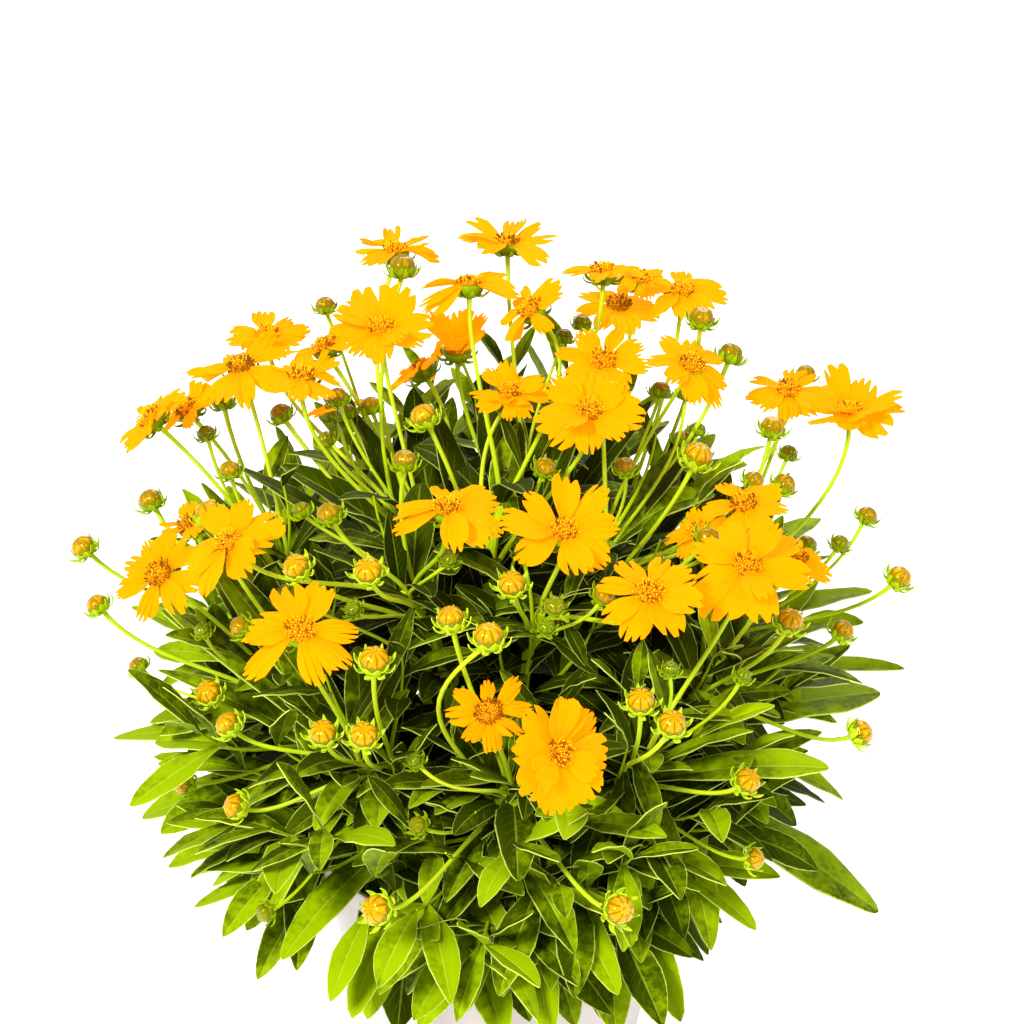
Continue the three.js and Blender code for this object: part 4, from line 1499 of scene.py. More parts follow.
@dataclass
class Shoot:
    """A leafy shoot with what it carries."""

    index: int
    bearing: float
    reach: float
    stem: Curve
    packed: Packed
    heads: int = 0
    stalks: list[Stalk] = field(default_factory=list)
    leaves: list[Leaf] = field(default_factory=list)
    branches: list[Curve] = field(default_factory=list)

    @classmethod
    def at(cls, index: int, bearing: float, reach: float, height: float) -> "Shoot":
        """Returns the shoot whose fork is at a bearing, reach and height.

        Args:
            index: its number, from 0.
            bearing: in degrees.
            reach: in millimetres.
            height: in millimetres.

        Returns:
            The shoot, still bare.
        """
        foot_reach = STEM.foot_reach + reach * STEM.foot_share
        foot = outward(bearing) * foot_reach + UP * STEM.foot_height
        fork = outward(bearing) * reach + UP * height
        rise = height - STEM.foot_height
        pull = leaning(bearing, STEM.fork_lean) * rise * STEM.fork_pull
        stem = Curve((foot, foot + UP * rise * STEM.foot_pull, fork - pull, fork))
        return cls(index, bearing, reach, stem, Packed(f"shoot_{index + 1:02d}"))

    @property
    def fork(self) -> Array:
        """Where its stem ends."""
        return self.stem.controls[3]

    def stalk_curve(self, share: float, head: Head, facing: Array, bend: float) -> Curve:
        """Returns the way of a stalk.

        Args:
            share: how far up the stem it leaves it.
            head: what it carries.
            facing: the way the head faces.
            bend: how far the stalk bends sideways.

        Returns:
            The curve from the stem to the head.
        """
        root, end = self.stem.at(share), head.at - facing * head.neck
        way = end - root
        chord = float(np.linalg.norm(way))
        start = unit(unit(way) * (1 - STEM.upright_share) + UP * STEM.upright_share)
        side = unit(np.cross(way, UP)) * bend
        return Curve((
            root,
            root + start * chord * STEM.start_pull + side * STEM.start_bend,
            end - facing * chord * STEM.end_pull + side,
            end,
        ))

    def facing(self, head: Head) -> Array:
        """Returns the way a head faces when it grows from this shoot.

        Args:
            head: what grows there.

        Returns:
            The direction, at length one.
        """
        if head.facing is not None:
            return head.facing
        way = unit(head.at - self.fork)
        return unit(UP * (1 - STEM.bud_turn) + way * STEM.bud_turn)


def spreading(axis: Array, turn: float, angle: float) -> Array:
    """Returns the direction that opens from an axis by an angle, at a turn round it.

    Args:
        axis: what it opens from.
        turn: in degrees.
        angle: in degrees.

    Returns:
        The direction, at length one.
    """
    side = unit(np.cross(axis, SKEW))
    other = np.cross(axis, side)
    round_it = side * math.cos(math.radians(turn)) + other * math.sin(math.radians(turn))
    return axis * math.cos(math.radians(angle)) + round_it * math.sin(math.radians(angle))


class Plant:
    """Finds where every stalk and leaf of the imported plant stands, then adds the small ones."""

    def __init__(self) -> None:
        """Lays out the plan's shoots, blooms and buds, and looks their green up."""
        self.shoots = [Shoot.at(i, *fork) for i, fork in enumerate(SHOOTS)]
        self.blooms = [Head.bloom(i, *row) for i, row in enumerate(BLOOMS)]
        tones = Draws(BUD.seed)
        self.buds = [Head.bud(*row, BUD.tone(row[1], row[3], tones)) for row in BUDS]
        self.young = [Head.bud(*row, BUD.young_tone(row[3])) for row in YOUNG_BUDS]
        self.bare = np.empty((0, 3))
        self.window = np.empty((0, 3))
        for head in [*self.blooms, *self.buds]:
            self.find_stalk(head)
        for row in REACHING_LEAVES:
            self.find_reaching(*row)
        for shoot in self.shoots:
            self.find_stem_leaves(shoot)
        LOG.info("%d leaves found in the packed plant", sum(len(s.leaves) for s in self.shoots))

    def nearest(self, head: Head) -> list[Shoot]:
        """Returns the shoots that a head may grow from, nearest first.

        Args:
            head: what grows there.

        Returns:
            The first few.
        """
        under = head.at[:2] * STEM.head_spread
        order = sorted(self.shoots, key=lambda s: float(np.hypot(*(s.fork[:2] - under))))
        return order[: STEM.choices]

    def find_stalk(self, head: Head) -> None:
        """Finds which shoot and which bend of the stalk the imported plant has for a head.

        Args:
            head: what grows there.
        """
        best: tuple[float, Shoot, Curve, Array] | None = None
        for shoot in self.nearest(head):
            facing = shoot.facing(head)
            share = STEM.stalk_highest - shoot.heads * STEM.stalk_spacing
            for bend in STALK_BENDS:
                curve = shoot.stalk_curve(max(STEM.stalk_lowest, share), head, facing, bend)
                chord = float(np.linalg.norm(curve.controls[3] - curve.controls[0]))
                steps = 3 if chord < STEM.long_stalk else 4
                off = shoot.packed.off(curve.at(curve.even(np.arange(1, steps) / steps)))
                if best is None or off < best[0]:
                    best = (off, shoot, curve, facing)
        assert best is not None
        off, shoot, curve, head.facing = best
        if off > STEM.stalk_off:
            LOG.warning("no packed stalk for the head at %s: %.1f mm off", head.at, off)
        shoot.heads += 1
        shoot.stalks.append(Stalk(curve, head))

    def keep_leaf(self, shoot: Shoot, leaves: Sequence[Leaf], shares: Sequence[float]) -> None:
        """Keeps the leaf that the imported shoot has, if it has one of them.

        Args:
            shoot: the shoot.
            leaves: one leaf in all the ways it may stand.
            shares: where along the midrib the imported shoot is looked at.
        """
        offs = [shoot.packed.off(leaf.midrib.at(np.array(shares))) for leaf in leaves]
        best = int(np.argmin(offs))
        if offs[best] < LEAF.off:
            shoot.leaves.append(leaves[best])

    def find_reaching(self, index: int, share: float, x: float, y: float, z: float,
                      half_width: float, rise: float) -> None:
        """Finds a leaf that reaches out of the bush, from its row in the plan.

        Args:
            index: its shoot's.
            share: how far up the stem it grows.
            x: its tip's.
            y: its tip's.
            z: its tip's.
            half_width: in millimetres.
            rise: how far its middle is drawn up.
        """
        shoot = self.shoots[index]
        leaves = []
        for lift in REACHING_LIFTS:
            midrib = self.arch(shoot.stem.at(share), np.array([x, y, z], float), rise + lift)
            leaves.append(Leaf(midrib, self.heading(midrib), half_width, LEAF.long_belly, 0,
                               LEAF.reaching_tone))
        self.keep_leaf(shoot, leaves, LEAF.reaching_looks)

    @staticmethod
    def arch(root: Array, tip: Array, rise: float) -> Curve:
        """Returns a midrib from root to tip, drawn up in the middle."""
        return Curve((root, (root + tip) / 2 + UP * rise, tip))

    @staticmethod
    def heading(midrib: Curve) -> float:
        """Returns the bearing that a midrib runs in."""
        return bearing_of(midrib.controls[2] - midrib.controls[0])

    def find_stem_leaves(self, shoot: Shoot) -> None:
        """Finds the leaves of a stem: its pairs, and those of its crown.

        Args:
            shoot: the shoot.
        """
        first = LEAF.inner_first if shoot.reach < LEAF.inner_reach else 0
        spots = [
            (number, min(1.0, LEAF.first_pair + LEAF.pair_step * (number // 2)),
             number // 2 % 2 * 90 + number % 2 * 180 + LEAF.turns, 0)
            for number in range(first * 2, LEAF.pairs * 2)
        ]
        spots += [(LEAF.pairs * 2 + number, LEAF.crown_share, turn, LEAF.crown_lift)
                  for number, turn in enumerate(LEAF.crown_turns)]
        for number, share, turn, lift in spots:
            leaves = [self.stem_leaf(shoot, number, share, turn + bend[0], lift + bend[1])
                      for bend in LEAF_BENDS]
            self.keep_leaf(shoot, leaves, LEAF.stem_looks)

    def stem_leaf(self, shoot: Shoot, number: int, share: float, place: float, lift: float
                  ) -> Leaf:
        """Returns a leaf of a stem as it stands with one of its bends.

        Args:
            shoot: what it belongs to.
            number: its number on the shoot.
            share: how far up the stem it grows.
            place: its bearing from the shoot's, with the bend.
            lift: how much it is lifted, in degrees, with the bend.

        Returns:
            The leaf.
        """
        draw = Draws(LEAF.seed + shoot.index * LEAF.seeds_per_shoot + number)
        bearing = shoot.bearing + place + draw.either(LEAF.turn_spread)
        length = lerp(LEAF.low_length, LEAF.top_length, share)
        length *= 1 + draw.either(LEAF.length_spread)
        half_width = length * LEAF.width_share * (1 + draw.either(LEAF.width_spread))
        rise = lerp(LEAF.low_rise, LEAF.top_rise, share)
        rise = rise + draw.either(LEAF.rise_spread) + lift
        tip_rise = lerp(LEAF.low_tip_rise, LEAF.top_tip_rise, share)
        tip_rise = tip_rise + draw.either(LEAF.tip_spread) + lift
        roll = draw.either(LEAF.roll_spread)
        root = shoot.stem.at(share)
        middle = root + leaning(bearing, 90 - rise) * length / 2
        tip = middle + leaning(bearing, 90 - tip_rise) * length / 2
        midrib = Curve((root, middle, tip))
        return Leaf(midrib, bearing, half_width, LEAF.belly, roll, draw.next())

    def is_clear(self, leaf: Leaf) -> bool:
        """Tells whether an added leaf keeps away from what has to show.

        Args:
            leaf: the leaf.

        Returns:
            Whether it may stay.
        """
        points = leaf.midrib.at(np.linspace(*SMALL.leaf_looks, SMALL.leaf_steps))
        for kept, room in (
            (self.bare, leaf.half_width * SMALL.stalk_room),
            (self.window, leaf.half_width + SMALL.rim_room),
        ):
            if np.linalg.norm(kept[:, None] - points[None], axis=2).min() < room:
                return False
        return all(
            np.linalg.norm(points - head.at, axis=1).min() >= head.room
            for head in [*self.blooms, *self.buds, *self.young]
        )

    def towards_eye(self, points: Array, offs: Sequence[float]) -> Array:
        """Returns the points, moved towards the eye by each of some distances."""
        return np.concatenate([points + unit(EYE - points) * off for off in offs])

    def add_small(self, rim: Array) -> None:
        """Adds young buds, and small leaves wherever they leave bare stalks and rim in sight.

        Args:
            rim: the points of the pot's rim that show.
        """
        draw = Draws(SMALL.seed)
        self.add_young_buds(draw)
        self.add_side_leaves(draw)
        stalks = np.concatenate([
            stalk.curve.at(stalk.curve.even(np.linspace(SMALL.bare_from, 1, SMALL.bare_steps)))
            for shoot in self.shoots for stalk in shoot.stalks
        ])
        self.bare = self.towards_eye(stalks, SMALL.stalk_offs)
        self.window = self.towards_eye(rim, SMALL.rim_offs)
        for shoot in self.shoots:
            self.add_stem_leaves(shoot, draw)
            for stalk in shoot.stalks:
                self.add_stalk_leaves(shoot, stalk, draw)
        self.add_branches()
        LOG.info("%d leaves in all", sum(len(shoot.leaves) for shoot in self.shoots))

    def add_young_buds(self, draw: Draws) -> None:
        """Adds the young buds, each on a stalk from the nearest shoot.

        Args:
            draw: where the variations are drawn from.
        """
        for head in self.young:
            shoot = self.nearest(head)[0]
            head.facing = shoot.facing(head)
            share = draw.between(*SMALL.young_shares)
            curve = shoot.stalk_curve(share, head, head.facing, draw.either(SMALL.young_bend))
            shoot.stalks.append(Stalk(curve, head))

    def add_side_leaves(self, draw: Draws) -> None:
        """Adds the leaves that reach out of the bush and aren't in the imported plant.

        Args:
            draw: where the variations are drawn from.
        """
        for index, share, x, y, z, half_width, rise in SIDE_LEAVES:
            shoot = self.shoots[index]
            midrib = self.arch(shoot.stem.at(share), np.array([x, y, z], float), rise)
            tone = SMALL.side_tone + draw.next() * SMALL.side_tones
            shoot.leaves.append(Leaf(midrib, self.heading(midrib), half_width, LEAF.belly,
                                     draw.either(SMALL.side_roll), tone, LEAF.pointed))

    def add_stem_leaves(self, shoot: Shoot, draw: Draws) -> None:
        """Adds small leaves in a spiral up a stem.

        Args:
            shoot: the shoot.
            draw: where the variations are drawn from.
        """
        for number in range(SMALL.on_stem):
            share = lerp(*SMALL.stem_shares, number / (SMALL.on_stem - 1))
            bearing = shoot.bearing + number * SMALL.stem_step + draw.either(SMALL.stem_turn)
            length = lerp(*SMALL.stem_lengths, share) * (1 + draw.either(SMALL.stem_spread))
            way = leaning(bearing, 90 - lerp(*SMALL.stem_rises, share))
            self.try_leaf(shoot, shoot.stem.at(share), way, length, draw)

    def add_stalk_leaves(self, shoot: Shoot, stalk: Stalk, draw: Draws) -> None:
        """Adds one or two pairs of small leaves low on a stalk.

        Args:
            shoot: the shoot.
            stalk: the stalk.
            draw: where the variations are drawn from.
        """
        is_long = stalk.curve.length() > SMALL.long_stalk
        turn = draw.next() * 360
        for pair, share in enumerate(SMALL.long_pairs if is_long else SMALL.short_pairs):
            spot = share * draw.between(*SMALL.pair_spread)
            at = stalk.curve.even(np.array(spot))
            for side in (0, 180):
                length = draw.between(*SMALL.pair_lengths) * (1 - share)
                opening = SMALL.pair_angle + draw.either(SMALL.pair_turn)
                way = spreading(stalk.curve.tangent(at), turn + side + 90 * pair, opening)
                self.try_leaf(shoot, stalk.curve.at(at), way, length, draw)

    def add_branches(self) -> None:
        """Adds leafy side branches with their tips spread evenly over the dome of the bush."""
        draw = Draws(DOME.seed)
        for number in range(DOME.branches):
            high = 1 - (number + 0.5) / DOME.branches
            bearing = number * DOME.turn
            tip = DOME.tip(high, bearing, draw)
            lean = lerp(*DOME.leans, high**DOME.lean_power)
            way = leaning(bearing + draw.either(DOME.turn_spread), lean)
            near = tip - way * DOME.backward
            shoot = min(self.shoots, key=lambda s: float(
                np.linalg.norm(s.stem.at(DOME.shoot_share) - near)))
            share = DOME.root_share(shoot, tip[2] - lerp(*DOME.drops, high))
            root = shoot.stem.at(share)
            pull = float(np.linalg.norm(tip - root)) * DOME.pull
            start = unit(shoot.stem.tangent(share) + way) * pull
            branch = Curve((root, root + start, tip - way * pull, tip))
            shoot.branches.append(branch)
            self.add_branch_leaves(shoot, branch, high, draw)

    def add_branch_leaves(self, shoot: Shoot, branch: Curve, high: float, draw: Draws) -> None:
        """Adds the pairs of leaves along a side branch.

        Args:
            shoot: what the branch belongs to.
            branch: its way.
            high: how high in the dome its tip is, from 0 to 1.
            draw: where the variations are drawn from.
        """
        turn = draw.next() * 180
        for pair, at in enumerate(DOME.nodes):
            outer = pair / (len(DOME.nodes) - 1)
            length = lerp(lerp(*DOME.foot_leaves, high), lerp(*DOME.tip_leaves, high), outer)
            place = branch.even(np.array(at))
            for side in (0, 180):
                opening = lerp(*DOME.openings, outer) + draw.either(DOME.opening_spread)
                around = turn + side + pair * 90 + draw.either(DOME.leaf_turn)
                way = spreading(branch.tangent(place), around, opening)
                own = length * (1 + draw.either(DOME.length_spread))
                self.try_leaf(shoot, branch.at(place), way, own, draw)

    def try_leaf(self, shoot: Shoot, root: Array, way: Array, length: float,
                 draw: Draws) -> None:
        """Adds a small leaf if it keeps clear of what has to show.

        Args:
            shoot: what it belongs to.
            root: where it grows from.
            way: the direction that it sets out in.
            length: its length.
            draw: where its own variations are drawn from.
        """
        middle = root + way * length / 2
        onward = unit(way - UP * draw.between(*SMALL.sags))
        midrib = Curve((root, middle, middle + onward * length / 2))
        half_width = length * draw.between(*SMALL.widths)
        leaf = Leaf(midrib, self.heading(midrib), half_width, SMALL.belly,
                    draw.either(SMALL.roll), draw.next(), LEAF.pointed)
        if self.is_clear(leaf):
            shoot.leaves.append(leaf)


# ---- Pieces ----


def register(piece: bpy.types.Object, slot: str, *nodes: str) -> None:
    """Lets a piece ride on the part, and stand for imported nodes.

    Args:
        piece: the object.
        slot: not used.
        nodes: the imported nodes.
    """
    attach(piece, "root")
    if nodes:
        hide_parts(*nodes)
    triangles = len(piece.data.loops) - 2 * len(piece.data.polygons)
    LOG.info("%s: %d triangles", piece.name, triangles)


@dataclass(frozen=True)
class LeafMaker:
    """Shapes leaf blades: folded along the midrib, waved at the edges. Sizes in millimetres."""

    rows: int = 9
    broad: float = 10.5
    broad_rows: int = 13
    columns: int = 5
    crowding: float = 1.75
    thickness: float = 0.45
    foot_width: float = 1.0
    tip_width: float = 0.35
    folds: Pair = (0.2, 0.6)
    flare: float = 0.22
    ripple: float = 0.07
    waves: Pair = (1.5, 3.5)
    side_phase: float = 1.7
    sunk: float = 0.3

    def grow(self, tissue: Tissue, leaf: Leaf) -> None:
        """Adds one leaf.

        Args:
            tissue: what it is added to.
            leaf: the leaf.
        """
        draw = Draws(int(abs(leaf.midrib.controls[2]).sum() * 97) + 5)
        rows = self.rows if leaf.half_width < self.broad else self.broad_rows
        shares = 1 - (1 - np.linspace(0, 1, rows)) ** self.crowding
        across = np.linspace(-1, 1, self.columns)
        along = leaf.midrib.tangent(shares)
        level = np.broadcast_to(sideways(leaf.bearing), along.shape)
        normal = unit(np.cross(along, level))
        turn = np.radians(leaf.roll * shares)[:, None]
        wide = level * np.cos(turn) + normal * np.sin(turn)
        normal = normal * np.cos(turn) - level * np.sin(turn)
        least = np.where(shares < 0.5, self.foot_width, self.tip_width)
        half = np.maximum(leaf.half_widths(shares), least)[:, None]
        fold = draw.between(*self.folds)
        phase, waves = draw.next() * ROUND, draw.between(*self.waves)
        curl = fold * np.abs(across)[None, :] - self.flare * across[None, :] ** 4
        cycle = waves * 2 * math.pi * shares[:, None] + phase + self.side_phase * np.sign(across)
        depth = half * (curl + self.ripple * np.sin(cycle) * across**2) - self.sunk
        grid = (
            leaf.midrib.at(shares)[:, None, :]
            + wide[:, None, :] * (half * across[None, :])[..., None]
            + normal[:, None, :] * depth[..., None]
        )
        # The tone carries the painted shade of the bush, from DomePlan.tone.
        growth = growth_of(grid, shares[:, None], across, DOME.tone(grid, leaf.tone))
        add_blade(tissue, grid, growth, self.thickness)


@dataclass(frozen=True)
class Bracts:
    """A ring of narrow bracts.

    Each runs from a foot to a tip, given by reach and height, and sags under the straight way by
    its curl. The width is half a bract's.
    """

    foot: Pair
    tip: Pair
    width: float
    curl: float
    count: int = LOBES
    rows: int = 7
    columns: int = 3
    thickness: float = 0.4
    cupped: float = 0.3
    waist: float = 0.6
    pointed: float = 0.75
    arch: float = 1.5
    upturn: float = 1.6
    heights: Pair = (0.75, 1.25)
    reaches: Pair = (0.92, 1.08)
    start: float = 0.25
    foot_along: float = 0.4

    def grow(self, tissue: Tissue, place: Place, size: float, tone: float) -> None:
        """Adds the ring.

        Args:
            tissue: what it is added to.
            place: the head's place.
            size: how many times as large as planned it is.
            tone: its tone.
        """
        shares = np.linspace(0, 1, self.rows)
        across = np.linspace(-1, 1, self.columns)
        (inner, low), (outer, high) = np.array([self.foot, self.tip]) * size
        narrowing = lerp(self.waist, 1, np.sin(math.pi * shares)) * (1 - shares**5 * self.pointed)
        half = self.width * size * narrowing
        curl = self.curl * size * np.sin(math.pi * shares)
        for number in range(self.count):
            draw = Draws(number * 13 + int(outer * 100))
            top = high * draw.between(*self.heights)
            far = outer * draw.between(*self.reaches)
            grid = np.empty((self.rows, self.columns, 3))
            grid[..., 0] = (inner + (far - inner) * np.sin(shares * self.arch))[:, None]
            grid[..., 1] = half[:, None] * across
            grid[..., 2] = (low + (top - low) * shares**self.upturn - curl)[:, None]
            grid[..., 2] += self.cupped * half[:, None] * across**2
            grid = place.world(spun(grid, 2 * math.pi * (number + self.start) / self.count))
            growth = growth_of(grid, lerp(self.foot_along, 1, shares[:, None]), across, tone)
            add_blade(tissue, grid, growth, self.thickness)


@dataclass(frozen=True)
class HeadMaker:
    """Shapes the green cups under blooms, and buds in their cups. Sizes in millimetres.

    A profile is a row of points, each a radius and a height. Those of a bud hold for its full
    width, and grow and shrink with it.
    """

    cup_profile: Profile = (
        (1.2, -6.9), (2.6, -6.5), (5.0, -5.1), (6.2, -3.2), (6.6, -1.3), (6.2, -0.7),
    )
    cup_sides: int = 24
    cup_bracts: Bracts = Bracts((3.6, -5.6), (9.2, -2.6), 1.3, 0.8)
    cup_tone: float = -0.5
    cup_bract_tone: float = -0.4
    scallops: float = 0.03
    full_bud: float = 11
    bud_sides: int = 32
    bud_rows: int = 11
    bud_span: Pair = (-0.42, 0.5)
    bud_radius: float = 5.45
    bud_roundness: float = 0.86
    bud_over: float = 4.5
    bud_under: float = 4.0
    bud_lift: float = 0.7
    navel_depth: float = 0.9
    navel_radius: float = 1.6
    seam_depth: float = 0.085
    seam_width: float = 1.5
    bud_cup_profile: Profile = (
        (1.0, -4.2), (3.0, -3.9), (4.9, -2.6), (5.75, -1.1), (5.9, 0.1), (5.5, 0.2),
    )
    bud_cup_points: float = 1.2
    young_cup_tone: float = 0.45
    cup_darkening: float = 0.9
    bract_lightening: float = 0.15
    bud_bracts: Bracts = Bracts((2.4, -3.6), (8.3, 1.2), 1.05, 0.9)

    def scalloped(self, angles: Array) -> Array:
        """Returns the factor for a cup's radius at some angles round it."""
        return 1 + self.scallops * np.cos(LOBES * angles)

    def lobed(self, angles: Array) -> Array:
        """Returns the factor for a bud's radius at some angles round it."""
        return 1 - self.seam_depth * (1 - np.abs(np.sin(LOBES / 2 * angles))) ** self.seam_width

    def add_cup(self, tissue: Tissue, place: Place, rings: Array, tone: float) -> None:
        """Adds the body of a cup, with the upper half of the finish's length on it."""
        growth = ring_growth(rings, tone) * [0.5, 1, 1] + [0.5, 0, 0]
        add_rings(tissue, place.world(rings), growth)

    def cup(self, tissue: Tissue, place: Place) -> None:
        """Adds the cup of bracts under a bloom.

        Args:
            tissue: what it is added to.
            place: the head's place.
        """
        rings = turned(np.array(self.cup_profile), self.cup_sides, self.scalloped)
        self.add_cup(tissue, place, rings, self.cup_tone)
        self.cup_bracts.grow(tissue, place, 1.0, self.cup_bract_tone)

    def bud(self, green: Tissue, skin: Tissue, head: Head) -> None:
        """Adds a bud: a lobed globe in a low cup with narrow bracts that curl up.

        Args:
            green: what the cup is added to.
            skin: what the globe is added to.
            head: the bud's place, size and tone.
        """
        place = Place.facing_to(head.at, head.facing)
        size = head.size / self.full_bud
        steps = np.linspace(*self.bud_span, self.bud_rows) * math.pi
        reach = np.cos(steps) ** self.bud_roundness * self.bud_radius
        rise = np.where(steps > 0, self.bud_over, self.bud_under)
        height = np.sin(steps) * rise + self.bud_lift
        height -= self.navel_depth * np.maximum(0, 1 - reach / self.navel_radius)
        profile = np.stack([np.maximum(reach, 0.05), height], axis=-1) * size
        rings = turned(profile, self.bud_sides, self.lobed)
        add_rings(skin, place.world(rings), ring_growth(rings, head.tone))
        rings = turned(np.array(self.bud_cup_profile) * size, self.bud_sides, self.scalloped)
        angles = np.linspace(0, 2 * math.pi, self.bud_sides, endpoint=False)
        rings[-2:, :, 2] += self.bud_cup_points * size * np.cos(LOBES * angles)
        tone = self.young_cup_tone - min(head.tone, 1.0) * self.cup_darkening
        self.add_cup(green, place, rings, tone)
        self.bud_bracts.grow(green, place, size, tone + self.bract_lightening)


class BloomKind(Enum):
    """How full a bloom is: how many extra short petals stand inside its ring."""

    SINGLE = 0
    HALF = 3
    DOUBLE = 6


@dataclass(frozen=True)
class BloomLook:
    """What sets one bloom apart from the next.

    The width is half a petal's, as a share of its length. The petals hang by the droop, and the
    sway lifts those on one bearing over those on the other side. The gap, in radians, is how far
    the petals beside a bearing stand away from it.
    """

    kind: BloomKind = BloomKind.SINGLE
    width: float = 0.31
    droop: float = 0.1
    cut: float = 1.15
    ruffle: float = 0.6
    # Age deepens the petals towards orange and curls their edges down; below zero it is painted
    # light, paler gold for blooms that stand in shade, with their edges lifted.
    age: float = 0.0
    dark: float = 0.0
    sway: float = 0.0
    sway_bearing: float = 0.0
    gap: float = 0.0
    gap_bearing: float = 0.0


@dataclass(frozen=True)
class PetalPlan:
    """How petals are shaped. The foot, the thickness and the heights are in millimetres."""

    foot: float = 3.6
    rows: int = 10
    thickness: float = 0.35
    least_teeth: int = 3
    more_teeth: float = 2.7
    marks: Floats = (0, 0.3, 0.7)
    mark_spread: float = 0.22
    dents: Pair = (0.0, 0.045)
    notches: Pair = (0.09, 0.19)
    deepest_notch: Pair = (0.05, 0.17)
    corner_notch: float = 0.10
    skew: float = 0.3
    sweep: float = 0.14
    tip_cut: float = 0.19
    tip_shift: float = 0.4
    tip_roundness: float = 2.3
    narrowing: float = 0.24
    widest: float = 0.86
    swelling: float = 1.2
    uneven: float = 0.08
    fall: float = 1.2
    bend: float = 3.4
    pleats: float = 0.6
    pleat_end: float = 1.4
    cupping: Pair = (-0.3, 0.45)
    ruffle: float = 1.1
    ruffle_waves: float = 2.6
    twist: float = 3
    twist_spread: float = 19
    age_curl: float = 1.8
    tone: float = 0.6


PETAL = PetalPlan()


@dataclass(frozen=True)
class Petal:
    """Where one petal of a bloom stands, and how long and wide it is.

    It points by its angle round the disc, in radians, its tip is its length from the middle of
    the disc, and its foot stands at its own height. The slope is its rise for each millimetre
    outward, and the width half its width as a share of its length.
    """

    angle: float
    length: float
    slope: float
    foot_height: float
    width: float

    @staticmethod
    def edge(teeth: int, draw: Draws) -> tuple[Array, Array]:
        """Returns the columns of a toothed tip.

        Args:
            teeth: how many it has.
            draw: where the variations are drawn from.

        Returns:
            How far across each column lies, from -1 to 1, and how far its tip is cut back.
        """
        step = len(PETAL.marks)
        columns = step * teeth + 1
        marks = [[k + mark for mark in PETAL.marks] for k in range(teeth)] + [[teeth]]
        across = np.concatenate(marks) * 2 / teeth - 1
        across[1:-1] += [draw.either(PETAL.mark_spread / teeth) for _ in range(columns - 2)]
        dents = np.array([draw.between(*PETAL.dents) for _ in range(columns)])
        dents[::step] = [draw.between(*PETAL.notches) for _ in range(teeth + 1)]
        dents[[0, -1]] = PETAL.corner_notch
        deepest = step * (1 + int(draw.next() * (teeth - 1)))
        dents[deepest] += draw.between(*PETAL.deepest_notch)
        return across, dents

    def grow(self, tissue: Tissue, place: Place, look: BloomLook, draw: Draws) -> None:
        """Adds the petal: toothed, pleated, cupped, and ruffled more or less.

        Args:
            tissue: what it is added to.
            place: the bloom's place.
            look: the bloom's look.
            draw: where its own variations are drawn from.
        """
        teeth = PETAL.least_teeth + int(draw.next() * PETAL.more_teeth)
        along = np.linspace(0, 1, PETAL.rows)[:, None]
        across, dents = self.edge(teeth, draw)
        skew = draw.either(PETAL.skew)
        tip = 1 - PETAL.tip_cut * np.abs(across - skew * PETAL.tip_shift) ** PETAL.tip_roundness
        reach = PETAL.foot + (self.length * (tip - dents * look.cut) - PETAL.foot) * along
        swell = np.sin(np.minimum(1, along / PETAL.widest) * math.pi / 2) ** PETAL.swelling
        half = self.width * self.length * (PETAL.narrowing + (1 - PETAL.narrowing) * swell)
        side = half * across * (1 + PETAL.uneven * draw.either(1))
        side = side + self.length * skew * along**2 * PETAL.sweep
        bend = draw.either(1.0) * look.ruffle
        rise = self.foot_height + self.slope * (reach - PETAL.foot)
        rise = rise - PETAL.fall * (reach / self.length) ** 4 + bend * along**3 * PETAL.bend
        pleat = np.where(np.arange(len(across)) % len(PETAL.marks), 0.0, 1.0)
        rise = rise - PETAL.pleats * pleat * along * (PETAL.pleat_end - along)
        rise = rise + draw.between(*PETAL.cupping) * half * across**2
        wave = np.sin(PETAL.ruffle_waves * across + draw.next() * ROUND)
        rise = rise + look.ruffle * PETAL.ruffle * along**2 * wave
        turn = math.radians(draw.either(PETAL.twist_spread) + PETAL.twist)
        rise = rise + side * math.tan(turn)
        rise = rise - look.age * PETAL.age_curl * along**3 * across**2
        cos, sin = math.cos(self.angle), math.sin(self.angle)
        grid = np.stack([reach * cos - side * sin, reach * sin + side * cos, rise], -1)
        tone = draw.next() * PETAL.tone + look.age * PETAL.tone
        growth = growth_of(grid, along, across, tone)
        add_blade(tissue, place.world(grid), growth, PETAL.thickness)


